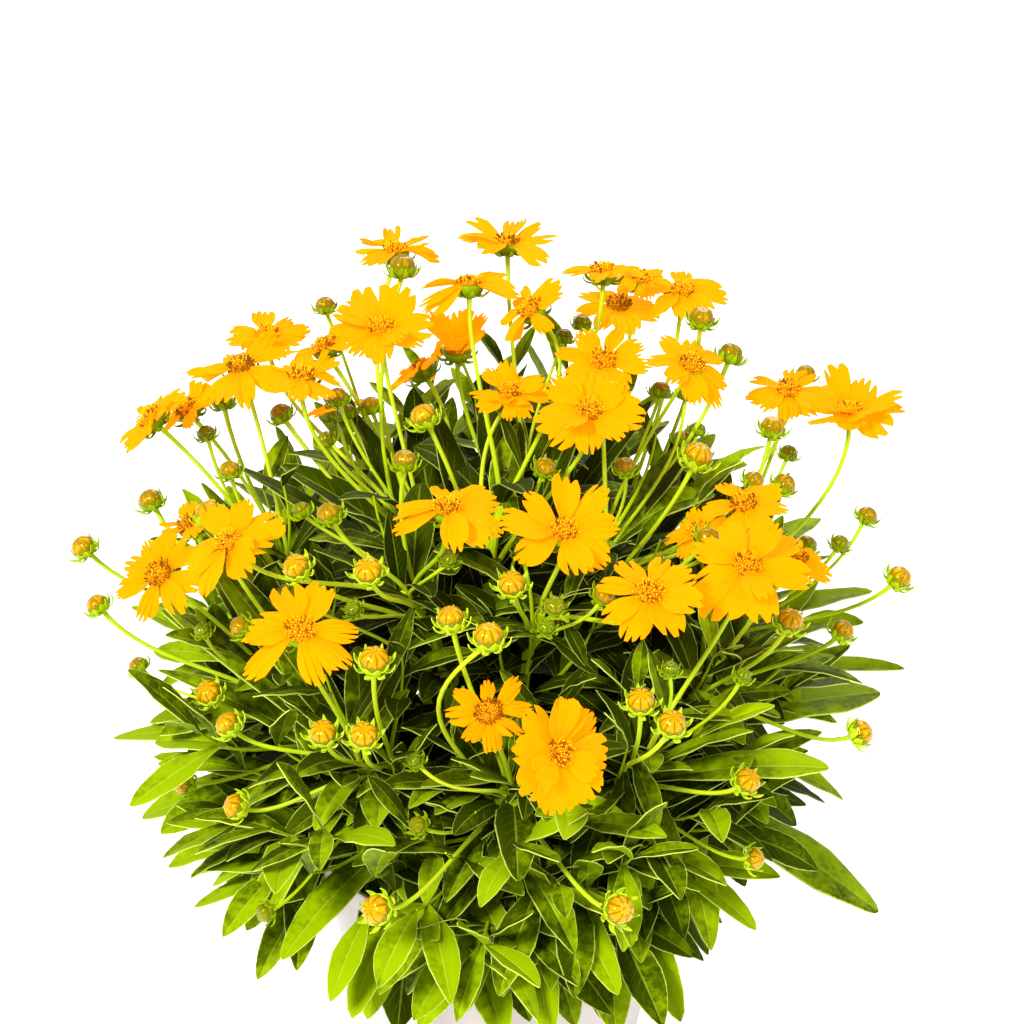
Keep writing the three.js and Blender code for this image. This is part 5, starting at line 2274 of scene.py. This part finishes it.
@dataclass(frozen=True)
class DiscMaker:
    """Shapes the disc of a bloom: a dome, and florets in the spirals they grow in.

    The profiles are rows of points, each a radius and a height. A floret's height runs from 0 to
    1, to be drawn out.
    """

    radius: float = 5.3
    dome_profile: Profile = (
        (5.1, -0.9), (5.4, 0.0), (4.9, 0.9), (3.6, 1.7), (1.8, 2.2), (0.2, 2.3),
    )
    dome_sides: int = 24
    dome_height: float = 2.4
    dome_tone: float = 0.7
    dome_along: float = 0.3
    florets: int = 104
    floret_sides: int = 4
    floret_profile: Profile = ((0.24, 0), (0.29, 0.55), (0.39, 0.85), (0.12, 1.0))
    spiral: float = 2.39996
    heights: Pair = (1.2, 2.3)
    height_spread: Pair = (0.4, 1.5)
    splay: float = 0.6
    splay_spread: float = 0.22
    sunk: float = 0.2
    flatness: float = 2.4
    turn_spread: float = 0.08
    dark_share: float = 0.09
    dark_rim: float = 0.18
    dark_look: float = 0.4
    spot_tone: float = 0.9
    look_tone: float = 0.92
    look_reach: float = 1.2
    skew: Floats = (0.3, 0.9, 0.1)

    def floret(self, tissue: Tissue, place: Place, number: int, look: BloomLook, draw: Draws
               ) -> None:
        """Adds one floret.

        Args:
            tissue: what it is added to.
            place: the bloom's place.
            number: its number in the spiral, from the middle.
            look: the bloom's look.
            draw: where the variations are drawn from.
        """
        share = math.sqrt((number + 0.5) / self.florets)
        angle = number * self.spiral + draw.either(self.turn_spread)
        level = np.array([math.cos(angle), math.sin(angle), 0.0])
        dome = self.dome_height * (1 - share**self.flatness)
        way = unit(level * (share * self.splay + draw.either(self.splay_spread)) + UP)
        base = level * (self.radius * share) + UP * (dome - self.sunk)
        height = lerp(*self.heights, share) * draw.between(*self.height_spread)
        side = unit(np.cross(way, self.skew))
        shape = np.array(self.floret_profile)
        rings = base + shape[:, 1, None, None] * height * way
        rings = rings + shape[:, 0, None, None] * circle(side, np.cross(way, side),
                                                         self.floret_sides)
        spots = self.dark_share + (self.dark_rim + self.dark_look * look.dark) * share
        spot = self.spot_tone if draw.next() < spots else 0.0
        tone = max(spot, look.dark * min(1.0, share * self.look_reach) * self.look_tone)
        add_rings(tissue, place.world(rings), growth_of(rings, shape[:, 1, None], 0, tone), 1)

    def grow(self, tissue: Tissue, place: Place, look: BloomLook, draw: Draws) -> None:
        """Adds the disc.

        Args:
            tissue: what it is added to.
            place: the bloom's place.
            look: the bloom's look.
            draw: where the variations are drawn from.
        """
        rings = turned(np.array(self.dome_profile), self.dome_sides)
        growth = ring_growth(rings, self.dome_tone) * [self.dome_along, 1, 1]
        add_rings(tissue, place.world(rings), growth, 1)
        for number in range(self.florets):
            self.floret(tissue, place, number, look, draw)


@dataclass(frozen=True)
class BloomMaker:
    """Shapes blooms: overlapping toothed petals round a dome of florets."""

    petals: int = 8
    seed: int = 500
    own_seed: int = 9000
    disc_seed: int = 700
    stretch: float = 1.01
    length_spread: float = 0.14
    own_lengths: Pair = (0.94, 1.06)
    own_widths: Pair = (0.66, 1.08)
    heights: Pair = (-0.25, 0.35)
    gap_width: float = 0.9
    inner_lengths: Pair = (0.62, 0.86)
    inner_slopes: Pair = (0.15, 0.5)
    inner_width: float = 0.9
    inner_height: float = 0.9
    inner_spread: float = 0.3
    turn_spread: float = 0.15
    slope_spread: float = 0.14
    own_slope_spread: float = 0.1
    disc: DiscMaker = DiscMaker()

    def parted(self, angle: float, place: Place, look: BloomLook) -> float:
        """Returns the angle of a petal, moved away from the gap in the bloom's ring.

        Args:
            angle: in radians.
            place: the head's place.
            look: the bloom's look.

        Returns:
            The new angle.
        """
        if not look.gap:
            return angle
        towards = outward(look.gap_bearing)
        middle = math.atan2(float(towards @ place.third), float(towards @ place.level))
        beside = (angle - middle + math.pi) % (2 * math.pi) - math.pi
        away = math.copysign(math.exp(-((beside / self.gap_width) ** 2)), beside)
        return angle + look.gap * away

    def ring(self, head: Head, place: Place, look: BloomLook, spin: float, draw: Draws,
             own: Draws) -> Iterator[Petal]:
        """Yields the petals of the outer ring, each before the draws of its own shape.

        Args:
            head: the bloom's head.
            place: its place.
            look: its look.
            spin: where the ring starts, in radians.
            draw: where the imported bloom's variations are drawn from.
            own: where the further variations are drawn from.

        Returns:
            The petals.
        """
        rise = math.tan(math.radians(head.rise))
        for number in range(self.petals):
            angle = spin + number * 2 * math.pi / self.petals + own.either(self.turn_spread)
            angle = self.parted(angle, place, look)
            length = head.radius * (1 - draw.next() * self.length_spread)
            length *= own.between(*self.own_lengths)
            slope = rise - look.droop + draw.either(self.slope_spread)
            slope = slope + own.either(self.own_slope_spread)
            way = place.level * math.cos(angle) + place.third * math.sin(angle)
            slope += look.sway * float(way @ outward(look.sway_bearing))
            width = look.width * own.between(*self.own_widths)
            yield Petal(angle, length * self.stretch, slope, self.heights[number % 2], width)

    def inner_ring(self, head: Head, look: BloomLook, spin: float, own: Draws
                   ) -> Iterator[Petal]:
        """Yields the extra short petals, each before the draws of its own shape.

        Args:
            head: the bloom's head.
            look: its look.
            spin: where the ring starts, in radians.
            own: where the variations are drawn from.

        Returns:
            The petals.
        """
        slope = max(math.tan(math.radians(head.rise)), 0)
        for number in range(look.kind.value):
            angle = spin + (number + 0.5) * 2 * math.pi / look.kind.value
            angle += own.either(self.inner_spread)
            length = head.radius * own.between(*self.inner_lengths)
            yield Petal(angle, length, slope + own.between(*self.inner_slopes),
                        self.inner_height, look.width * self.inner_width)

    def grow(self, head: Head, look: BloomLook) -> None:
        """Builds one bloom as a piece.

        Args:
            head: the bloom's.
            look: the bloom's look.
        """
        tissue = Tissue()
        place = Place.facing_to(head.at, head.facing)
        draw, own = Draws(self.seed + head.index), Draws(self.own_seed + head.index)
        spin = draw.next() * 2 * math.pi
        for petal in self.ring(head, place, look, spin, draw, own):
            petal.grow(tissue, place, look, own)
        for petal in self.inner_ring(head, look, spin, own):
            petal.grow(tissue, place, look, own)
        self.disc.grow(tissue, place, look, Draws(self.disc_seed + head.index))
        piece = tissue.piece(f"flower_{head.index + 1:02d}", [PETAL_GOLD, FLORETS])
        register(piece, "bloom", f"bloom_{head.index + 1:02d}")


# What sets the blooms apart, by their number in the plan.
# A negative age is painted light: it keeps the petals of blooms that stand in shade paler gold.
LOOKS = {
    1: BloomLook(width=0.29, ruffle=0.9, gap=0.3),
    2: BloomLook(width=0.21, droop=0.05, cut=1.35, dark=0.5, sway=0.15, sway_bearing=270, gap=0.3),
    3: BloomLook(droop=0.0, sway=-0.45, gap=0.75),
    4: BloomLook(width=0.29, ruffle=0.8),
    5: BloomLook(width=0.30, droop=0.0, sway=0.3),
    6: BloomLook(width=0.30),
    7: BloomLook(droop=0.2, age=-0.5, dark=0.9, sway=0.15),
    8: BloomLook(width=0.32, droop=0.12),
    9: BloomLook(BloomKind.HALF, width=0.36, cut=1.3),
    10: BloomLook(droop=0.22),
    11: BloomLook(width=0.22, cut=1.4, ruffle=1.3, dark=1.0),
    12: BloomLook(droop=0.15, dark=0.6),
    13: BloomLook(droop=0.15, ruffle=0.9, age=-0.6),
    14: BloomLook(droop=0.15, age=-0.6),
    15: BloomLook(width=0.30, age=-0.4, dark=0.4),
    16: BloomLook(width=0.36, droop=-0.05, ruffle=0.5, age=-0.8),
    17: BloomLook(age=-0.8),
    18: BloomLook(width=0.30, age=-0.8),
    19: BloomLook(BloomKind.DOUBLE, width=0.29, droop=0.28),
    20: BloomLook(width=0.27, droop=0.0, cut=1.6, ruffle=0.8),
    21: BloomLook(BloomKind.HALF, width=0.33, droop=0.05),
    22: BloomLook(width=0.29, cut=1.3, sway=-0.3, sway_bearing=45),
    23: BloomLook(width=0.28, cut=1.3, ruffle=0.9, gap=0.2, gap_bearing=200),
    24: BloomLook(BloomKind.DOUBLE, width=0.36, droop=0.12, sway=0.22),
    25: BloomLook(width=0.30, droop=0.24, gap=0.35, gap_bearing=330),
    26: BloomLook(width=0.34, droop=0.0, cut=1.05, ruffle=0.9, sway=0.12, sway_bearing=180,
                  gap=0.25, gap_bearing=330),
    27: BloomLook(width=0.30, dark=0.8, age=0.2),
    28: BloomLook(width=0.33, cut=1.2, ruffle=0.8),
    29: BloomLook(droop=0.1, dark=0.9),
    30: BloomLook(width=0.26, droop=0.2, cut=1.4, ruffle=1.0, gap=0.35, gap_bearing=345),
    31: BloomLook(width=0.29, droop=0.22),
    32: BloomLook(width=0.29, droop=0.2, dark=0.7, age=0.4),
    34: BloomLook(BloomKind.HALF, width=0.33, droop=0.24, ruffle=0.5),
    36: BloomLook(width=0.22, cut=1.5, ruffle=1.2, age=0.9, dark=1.0),
    37: BloomLook(BloomKind.HALF, width=0.38, droop=0.0, cut=0.8, ruffle=0.4),
}


def look_of(number: int) -> BloomLook:
    """Returns the look of a bloom, drawn at random where the plan names none.

    Args:
        number: its number, from 1.

    Returns:
        Its look.
    """
    if number in LOOKS:
        return LOOKS[number]
    draw = Draws(300 + number)
    kind = BloomKind.HALF if draw.next() < 0.2 else BloomKind.SINGLE
    return BloomLook(kind, draw.between(0.28, 0.34), ruffle=draw.between(0.5, 1.0),
                     age=max(0.0, draw.either(0.4)), dark=max(0.0, draw.either(0.8)))


@dataclass(frozen=True)
class ShootMaker:
    """Builds a leafy shoot: stem, stalks, cups, leaves and buds. Sizes in millimetres."""

    leaves: LeafMaker = LeafMaker()
    heads: HeadMaker = HeadMaker()
    seed: int = 60
    stem_rows: int = 24
    stem_sides: int = 10
    stem_ribs: float = 0.06
    stem_tone: float = 0.05
    taper: float = 0.25
    swelling: float = 0.28
    swelling_reach: float = 0.025
    stalk_rows: int = 18
    stalk_sides: int = 8
    stalk_tones: Pair = (0.2, 0.75)
    stalk_foot: float = 0.45
    stalk_collar: float = 0.35
    slim_bud: float = 10
    slim_stalk: float = 0.8
    branch_rows: int = 10
    branch_sides: int = 7
    branch_radii: Pair = (1.5, 0.45)
    branch_tones: Pair = (-0.5, 0.1)

    def stem(self, green: Tissue, shoot: Shoot) -> None:
        """Adds the stem, which tapers and swells where its leaves leave it.

        Args:
            green: what it is added to.
            shoot: the shoot.
        """
        shares = np.linspace(0, 1, self.stem_rows)
        swell = np.zeros_like(shares)
        for pair in range(LEAF.pairs + 1):
            away = shares - LEAF.first_pair - LEAF.pair_step * pair
            swell += np.exp(-((away / self.swelling_reach) ** 2))
        radii = STEM.radius * (1 - self.taper * shares)
        radii = radii * (1 + self.swelling * np.minimum(swell, 1))
        add_tube(green, shoot.stem.at(shares), radii, self.stem_sides, self.stem_tone,
                 self.stem_ribs)

    def stalk(self, green: Tissue, skin: Tissue, stalk: Stalk, draw: Draws) -> None:
        """Adds a stalk, thicker at its foot and under its head, and the green of the head.

        Args:
            green: what the stalk and the cup are added to.
            skin: what a bud's globe is added to.
            stalk: the stalk and its head.
            draw: where the tone is drawn from.
        """
        head = stalk.head
        steps = np.linspace(0, 1, self.stalk_rows)
        swell = 1 + self.stalk_foot * (1 - steps) ** 3 + self.stalk_collar * steps**14
        radii = STEM.stalk_radius * swell
        if head.size and head.size < self.slim_bud:
            radii = radii * self.slim_stalk
        path = stalk.curve.at(stalk.curve.even(steps))
        add_tube(green, path, radii, self.stalk_sides, draw.between(*self.stalk_tones))
        if head.size:
            self.heads.bud(green, skin, head)
        else:
            self.heads.cup(green, Place.facing_to(head.at, head.facing))

    def build(self, shoot: Shoot) -> None:
        """Builds the pieces of one shoot.

        Args:
            shoot: the shoot.
        """
        green, blades, skin = Tissue(), Tissue(), Tissue()
        self.stem(green, shoot)
        draw = Draws(self.seed + shoot.index)
        for stalk in shoot.stalks:
            self.stalk(green, skin, stalk, draw)
        radii = np.linspace(*self.branch_radii, self.branch_rows)
        for branch in shoot.branches:
            path = branch.at(np.linspace(0, 1, self.branch_rows))
            add_tube(green, path, radii, self.branch_sides,
                     draw.between(*self.branch_tones))
        for leaf in shoot.leaves:
            self.leaves.grow(blades, leaf)
        number = f"{shoot.index + 1:02d}"
        register(green.piece("stalks_" + number, [STALK_LIME]), "shoot", "shoot_" + number)
        register(blades.piece("leaves_" + number, [LEAF_GREEN]), "shoot", "shoot_" + number)
        if skin.total:
            register(skin.piece("buds_" + number, [BUD_GLOSS]), "bloom", "shoot_" + number)


@dataclass(frozen=True)
class PotMaker:
    """Builds the pot and the soil in it. Sizes in millimetres."""

    height: float = 150
    base_radius: float = 68
    wall_top: float = 89.5
    band_height: float = 14
    band_radius: float = 92.5
    rim_radius: float = 95
    wall: float = 2.5
    floor: float = 3
    sides: int = 112
    crease: float = 40
    drains: int = 6
    drain_radius: float = 5
    drain_reach: float = 45
    drain_sides: int = 20
    rim_shows: Floats = (-46, -43, -40)
    soil_top: float = 132
    soil_crown: float = 3
    soil_gap: float = 0.5
    soil_rows: int = 30
    soil_sides: int = 90
    soil_tone: float = 0.3
    soil_crease: float = 30
    crumbs: int = 220
    crumb_seed: int = 31
    crumb_sizes: Pair = (0.6, 2.6)
    crumb_sides: int = 7
    crumb_reach: float = 0.97
    crumb_lift: float = 0.3
    crumb_lumps: float = 0.25
    crumb_widths: Pair = (0.5, 1.0)
    crumb_heights: Pair = (0.5, 0.9)
    crumb_profile: Profile = ((0.1, -0.8), (0.8, -0.4), (1.0, 0.2), (0.6, 0.8), (0.1, 1.0))

    @property
    def band(self) -> float:
        """The height of the band's lower edge."""
        return self.height - self.band_height

    def wall_at(self, height: float) -> float:
        """Returns the outside radius of the wall at a height."""
        return lerp(self.base_radius, self.wall_top, height / self.band)

    def rim(self) -> Array:
        """Returns the points of the rim that show between the leaves.

        Returns:
            The points.
        """
        return np.array([
            outward(bearing) * self.rim_radius + UP * self.height for bearing in self.rim_shows
        ])

    def outside(self) -> list[Pair]:
        """Returns the profile outside: a foot ring, the wall, and a rolled band at the rim.

        Returns:
            Radii and heights, from the middle.
        """
        band, edge, rim, top = self.band, self.band_radius, self.rim_radius, self.height
        return [
            (0.5, 1.6), (44, 1.6), (52, 1.2), (58, 0.4), (61, 0), (66, 0), (67.6, 0.5),
            (68.3, 1.6), (68.6, 4),
            *[(self.wall_at(z), z) for z in np.linspace(10, band - 2, 16)],
            (self.wall_at(band) + 0.2, band - 0.8), (edge - 1.4, band - 0.4),
            (edge - 0.4, band - 0.1), (edge, band + 0.6), (rim - 0.5, top - 2.4),
            (rim, top - 1.2), (rim - 0.2, top - 0.4), (rim - 0.9, top), (rim - 1.8, top - 0.2),
            (rim - 2.5, top - 1.2),
        ]

    def inside(self) -> list[Pair]:
        """Returns the profile inside, from the rim down to the middle of the floor.

        Its ring on the floor keeps clear of the drain holes, whose edges would touch it.

        Returns:
            Radii and heights.
        """
        band, floor = self.band, self.floor
        return [
            (self.band_radius - 2.6, band + 1), (self.wall_at(band) - 2.4, band - 2.5),
            *[(self.wall_at(z) - self.wall, z) for z in np.linspace(band - 6, floor + 2, 6)],
            (self.wall_at(0) - 5, floor), (37, floor), (0.5, floor),
        ]

    def pot(self) -> None:
        """Builds the pot."""
        outside = self.outside()
        rings = turned(np.array([*outside, *self.inside()]), self.sides)
        growth = ring_growth(rings, 0.0)
        growth[len(outside):, :, 2] = 1.0
        tissue = Tissue()
        add_rings(tissue, rings, growth)
        piece = tissue.piece("pot_wall", [POT_PALE], self.crease)
        self.drain(piece)
        register(piece, "pot", "pot")

    def drain(self, pot: bpy.types.Object) -> None:
        """Cuts the drain holes through the pot's floor.

        Args:
            pot: the pot.
        """
        tissue = Tissue()
        side = [(self.drain_radius, -self.floor), (self.drain_radius, self.floor * 2)]
        for number in range(self.drains):
            at = outward((number + 0.5) * 360 / self.drains) * self.drain_reach
            rings = turned(np.array(side), self.drain_sides) + at
            add_rings(tissue, rings, ring_growth(rings, 0.0))
        drills = tissue.piece("drills", [])
        cut = pot.modifiers.new("drains", "BOOLEAN")
        cut.operation, cut.object, cut.solver = "DIFFERENCE", drills, "EXACT"
        whole = pot.data
        cut_pot = pot.evaluated_get(bpy.context.evaluated_depsgraph_get())
        pot.data = bpy.data.meshes.new_from_object(cut_pot)
        pot.data.set_sharp_from_angle(angle=math.radians(self.crease))
        pot.modifiers.clear()
        for mesh in (whole, drills.data):
            bpy.data.meshes.remove(mesh)

    @staticmethod
    def bumps(x: Array, y: Array) -> Array:
        """Returns how far the soil's top stands up or down at some places.

        Args:
            x: in millimetres.
            y: in millimetres.

        Returns:
            One height for each.
        """
        return (
            0.8 * np.sin(x * 0.31 + 1.3) * np.cos(y * 0.27) + 0.6 * np.sin(x * 0.83 + y * 0.61)
            + 0.4 * np.cos(x * 1.7 - y * 1.3) + 0.3 * np.sin(y * 2.3 + x * 0.4)
        )

    def soil_height(self, share: float) -> float:
        """Returns the height of the soil's top at a share of its reach."""
        return self.soil_top + self.soil_crown * (1 - share**4)

    def soil(self) -> None:
        """Builds the soil: an uneven crumbly top with loose crumbs, and the ball under it."""
        tissue = Tissue()
        reach = self.wall_at(self.soil_top) - self.wall - self.soil_gap
        shares = np.linspace(0.004, 1, self.soil_rows)[::-1]
        low = [(0.4, 3.4)]
        low += [(self.wall_at(at) - self.wall - 1, z) for at, z in ((4, 3.6), (60, 60))]
        top = [(reach * share, self.soil_height(share)) for share in shares]
        rings = turned(np.array([*low, *top]), self.soil_sides)
        loose = rings[len(low) + 1:]
        loose[..., 2] += self.bumps(loose[..., 0], loose[..., 1])
        add_rings(tissue, rings, ring_growth(rings, self.soil_tone))
        draw = Draws(self.crumb_seed)
        for _ in range(self.crumbs):
            self.crumb(tissue, reach, draw)
        register(tissue.piece("soil_fill", [PEAT], self.soil_crease), "soil", "soil")

    def crumb(self, tissue: Tissue, reach: float, draw: Draws) -> None:
        """Adds a loose crumb on the soil, within some reach of its middle.

        Args:
            tissue: what it is added to.
            reach: in millimetres.
            draw: where the variations are drawn from.
        """
        angle, share = draw.next() * 2 * math.pi, math.sqrt(draw.next()) * self.crumb_reach
        size = lerp(*self.crumb_sizes, draw.next() ** 2)
        level = np.array([math.cos(angle), math.sin(angle), 0.0]) * reach * share
        at = level + UP * (self.soil_height(share) + size * self.crumb_lift)
        shape = np.array(self.crumb_profile) * size
        clod = turned(shape, self.crumb_sides,
                      lambda angles: 1 + self.crumb_lumps * np.sin(angles * 2 + size * 9))
        clod = clod * [1, draw.between(*self.crumb_widths), draw.between(*self.crumb_heights)]
        clod = spun(clod, draw.next() * ROUND)
        add_rings(tissue, clod + at, ring_growth(clod, draw.next()))


# ---- The studio ----


@dataclass(frozen=True)
class Lamp:
    """A soft round light, in metres and watts."""

    name: str
    at: tuple[float, float, float]
    size: float
    power: float
    target: tuple[float, float, float] = (0.0, 0.0, 0.26)

    def hang(self) -> None:
        """Hangs the light so that it faces the plant."""
        data = bpy.data.lights.new(self.name, "AREA")
        data.shape, data.size, data.energy = "DISK", self.size, self.power
        made = bpy.data.objects.new(self.name, data)
        made.location = self.at
        way = np.array(self.target) - np.array(self.at)
        turn = math.atan2(math.hypot(way[0], way[1]), -way[2])
        made.rotation_euler = (turn, 0.0, math.atan2(-way[0], way[1]))
        bpy.context.scene.collection.objects.link(made)


@dataclass(frozen=True)
class Studio:
    """The floor, the lights and the camera. The floor is in millimetres."""

    floor_side: float = 6000.0
    floor_drop: float = 0.4
    surround: float = 0.5
    lamps: tuple[Lamp, ...] = (
        Lamp("key", (-0.9, -1.3, 1.7), 0.5, 70),
        Lamp("fill", (1.4, -0.9, 1.2), 1.0, 16),
        Lamp("back", (0.3, 1.5, 1.5), 1.2, 18),
    )
    lens: float = 70.3125
    sensor: float = 36.0
    tilt: float = 61

    def floor(self) -> None:
        """Lays a plain pale floor under the pot."""
        tissue = Tissue()
        corners = np.array([[-1, -1, 0], [1, -1, 0], [1, 1, 0], [-1, 1, 0]]) * self.floor_side
        corners = corners - UP * self.floor_drop
        tissue.add(corners, np.zeros((4, 3)), [np.array([[0, 1, 2, 3]])])
        tissue.piece("floor", [FLOOR_WHITE])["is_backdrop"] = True

    def lights(self) -> None:
        """Sets the white surround and hangs the soft lights."""
        world = bpy.data.worlds.new("surround")
        world.use_nodes = True
        background = world.node_tree.nodes["Background"].inputs
        background["Color"].default_value = (1.0, 1.0, 1.0, 1.0)
        background["Strength"].default_value = self.surround
        bpy.context.scene.world = world
        bpy.context.scene.view_settings.view_transform = "Standard"
        for lamp in self.lamps:
            lamp.hang()

    def camera(self) -> None:
        """Sets the camera in front of the plant, looking down on it."""
        data = bpy.data.cameras.new("camera")
        data.lens, data.sensor_width = self.lens, self.sensor
        made = bpy.data.objects.new("camera", data)
        made.location = EYE * MM
        made.rotation_euler = (math.radians(self.tilt), 0.0, 0.0)
        bpy.context.scene.collection.objects.link(made)
        bpy.context.scene.camera = made


def main() -> None:
    """Builds the whole scene in order."""
    logging.basicConfig(level=logging.INFO, format="%(name)s: %(message)s")
    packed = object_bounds()
    studio = Studio()
    studio.camera()
    studio.lights()
    studio.floor()
    pots = PotMaker()
    pots.pot()
    pots.soil()
    plant = Plant()
    plant.add_small(pots.rim())
    shoots = ShootMaker()
    for shoot in plant.shoots:
        shoots.build(shoot)
    blooms = BloomMaker()
    for head in plant.blooms:
        blooms.grow(head, look_of(head.index + 1))
    sizes = {
        "packed": [list(corner) for corner in packed],
        "visual": [list(corner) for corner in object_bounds()],
    }
    LOG.info("sizes: %s", sizes)


if __name__ == "__main__":
    main()
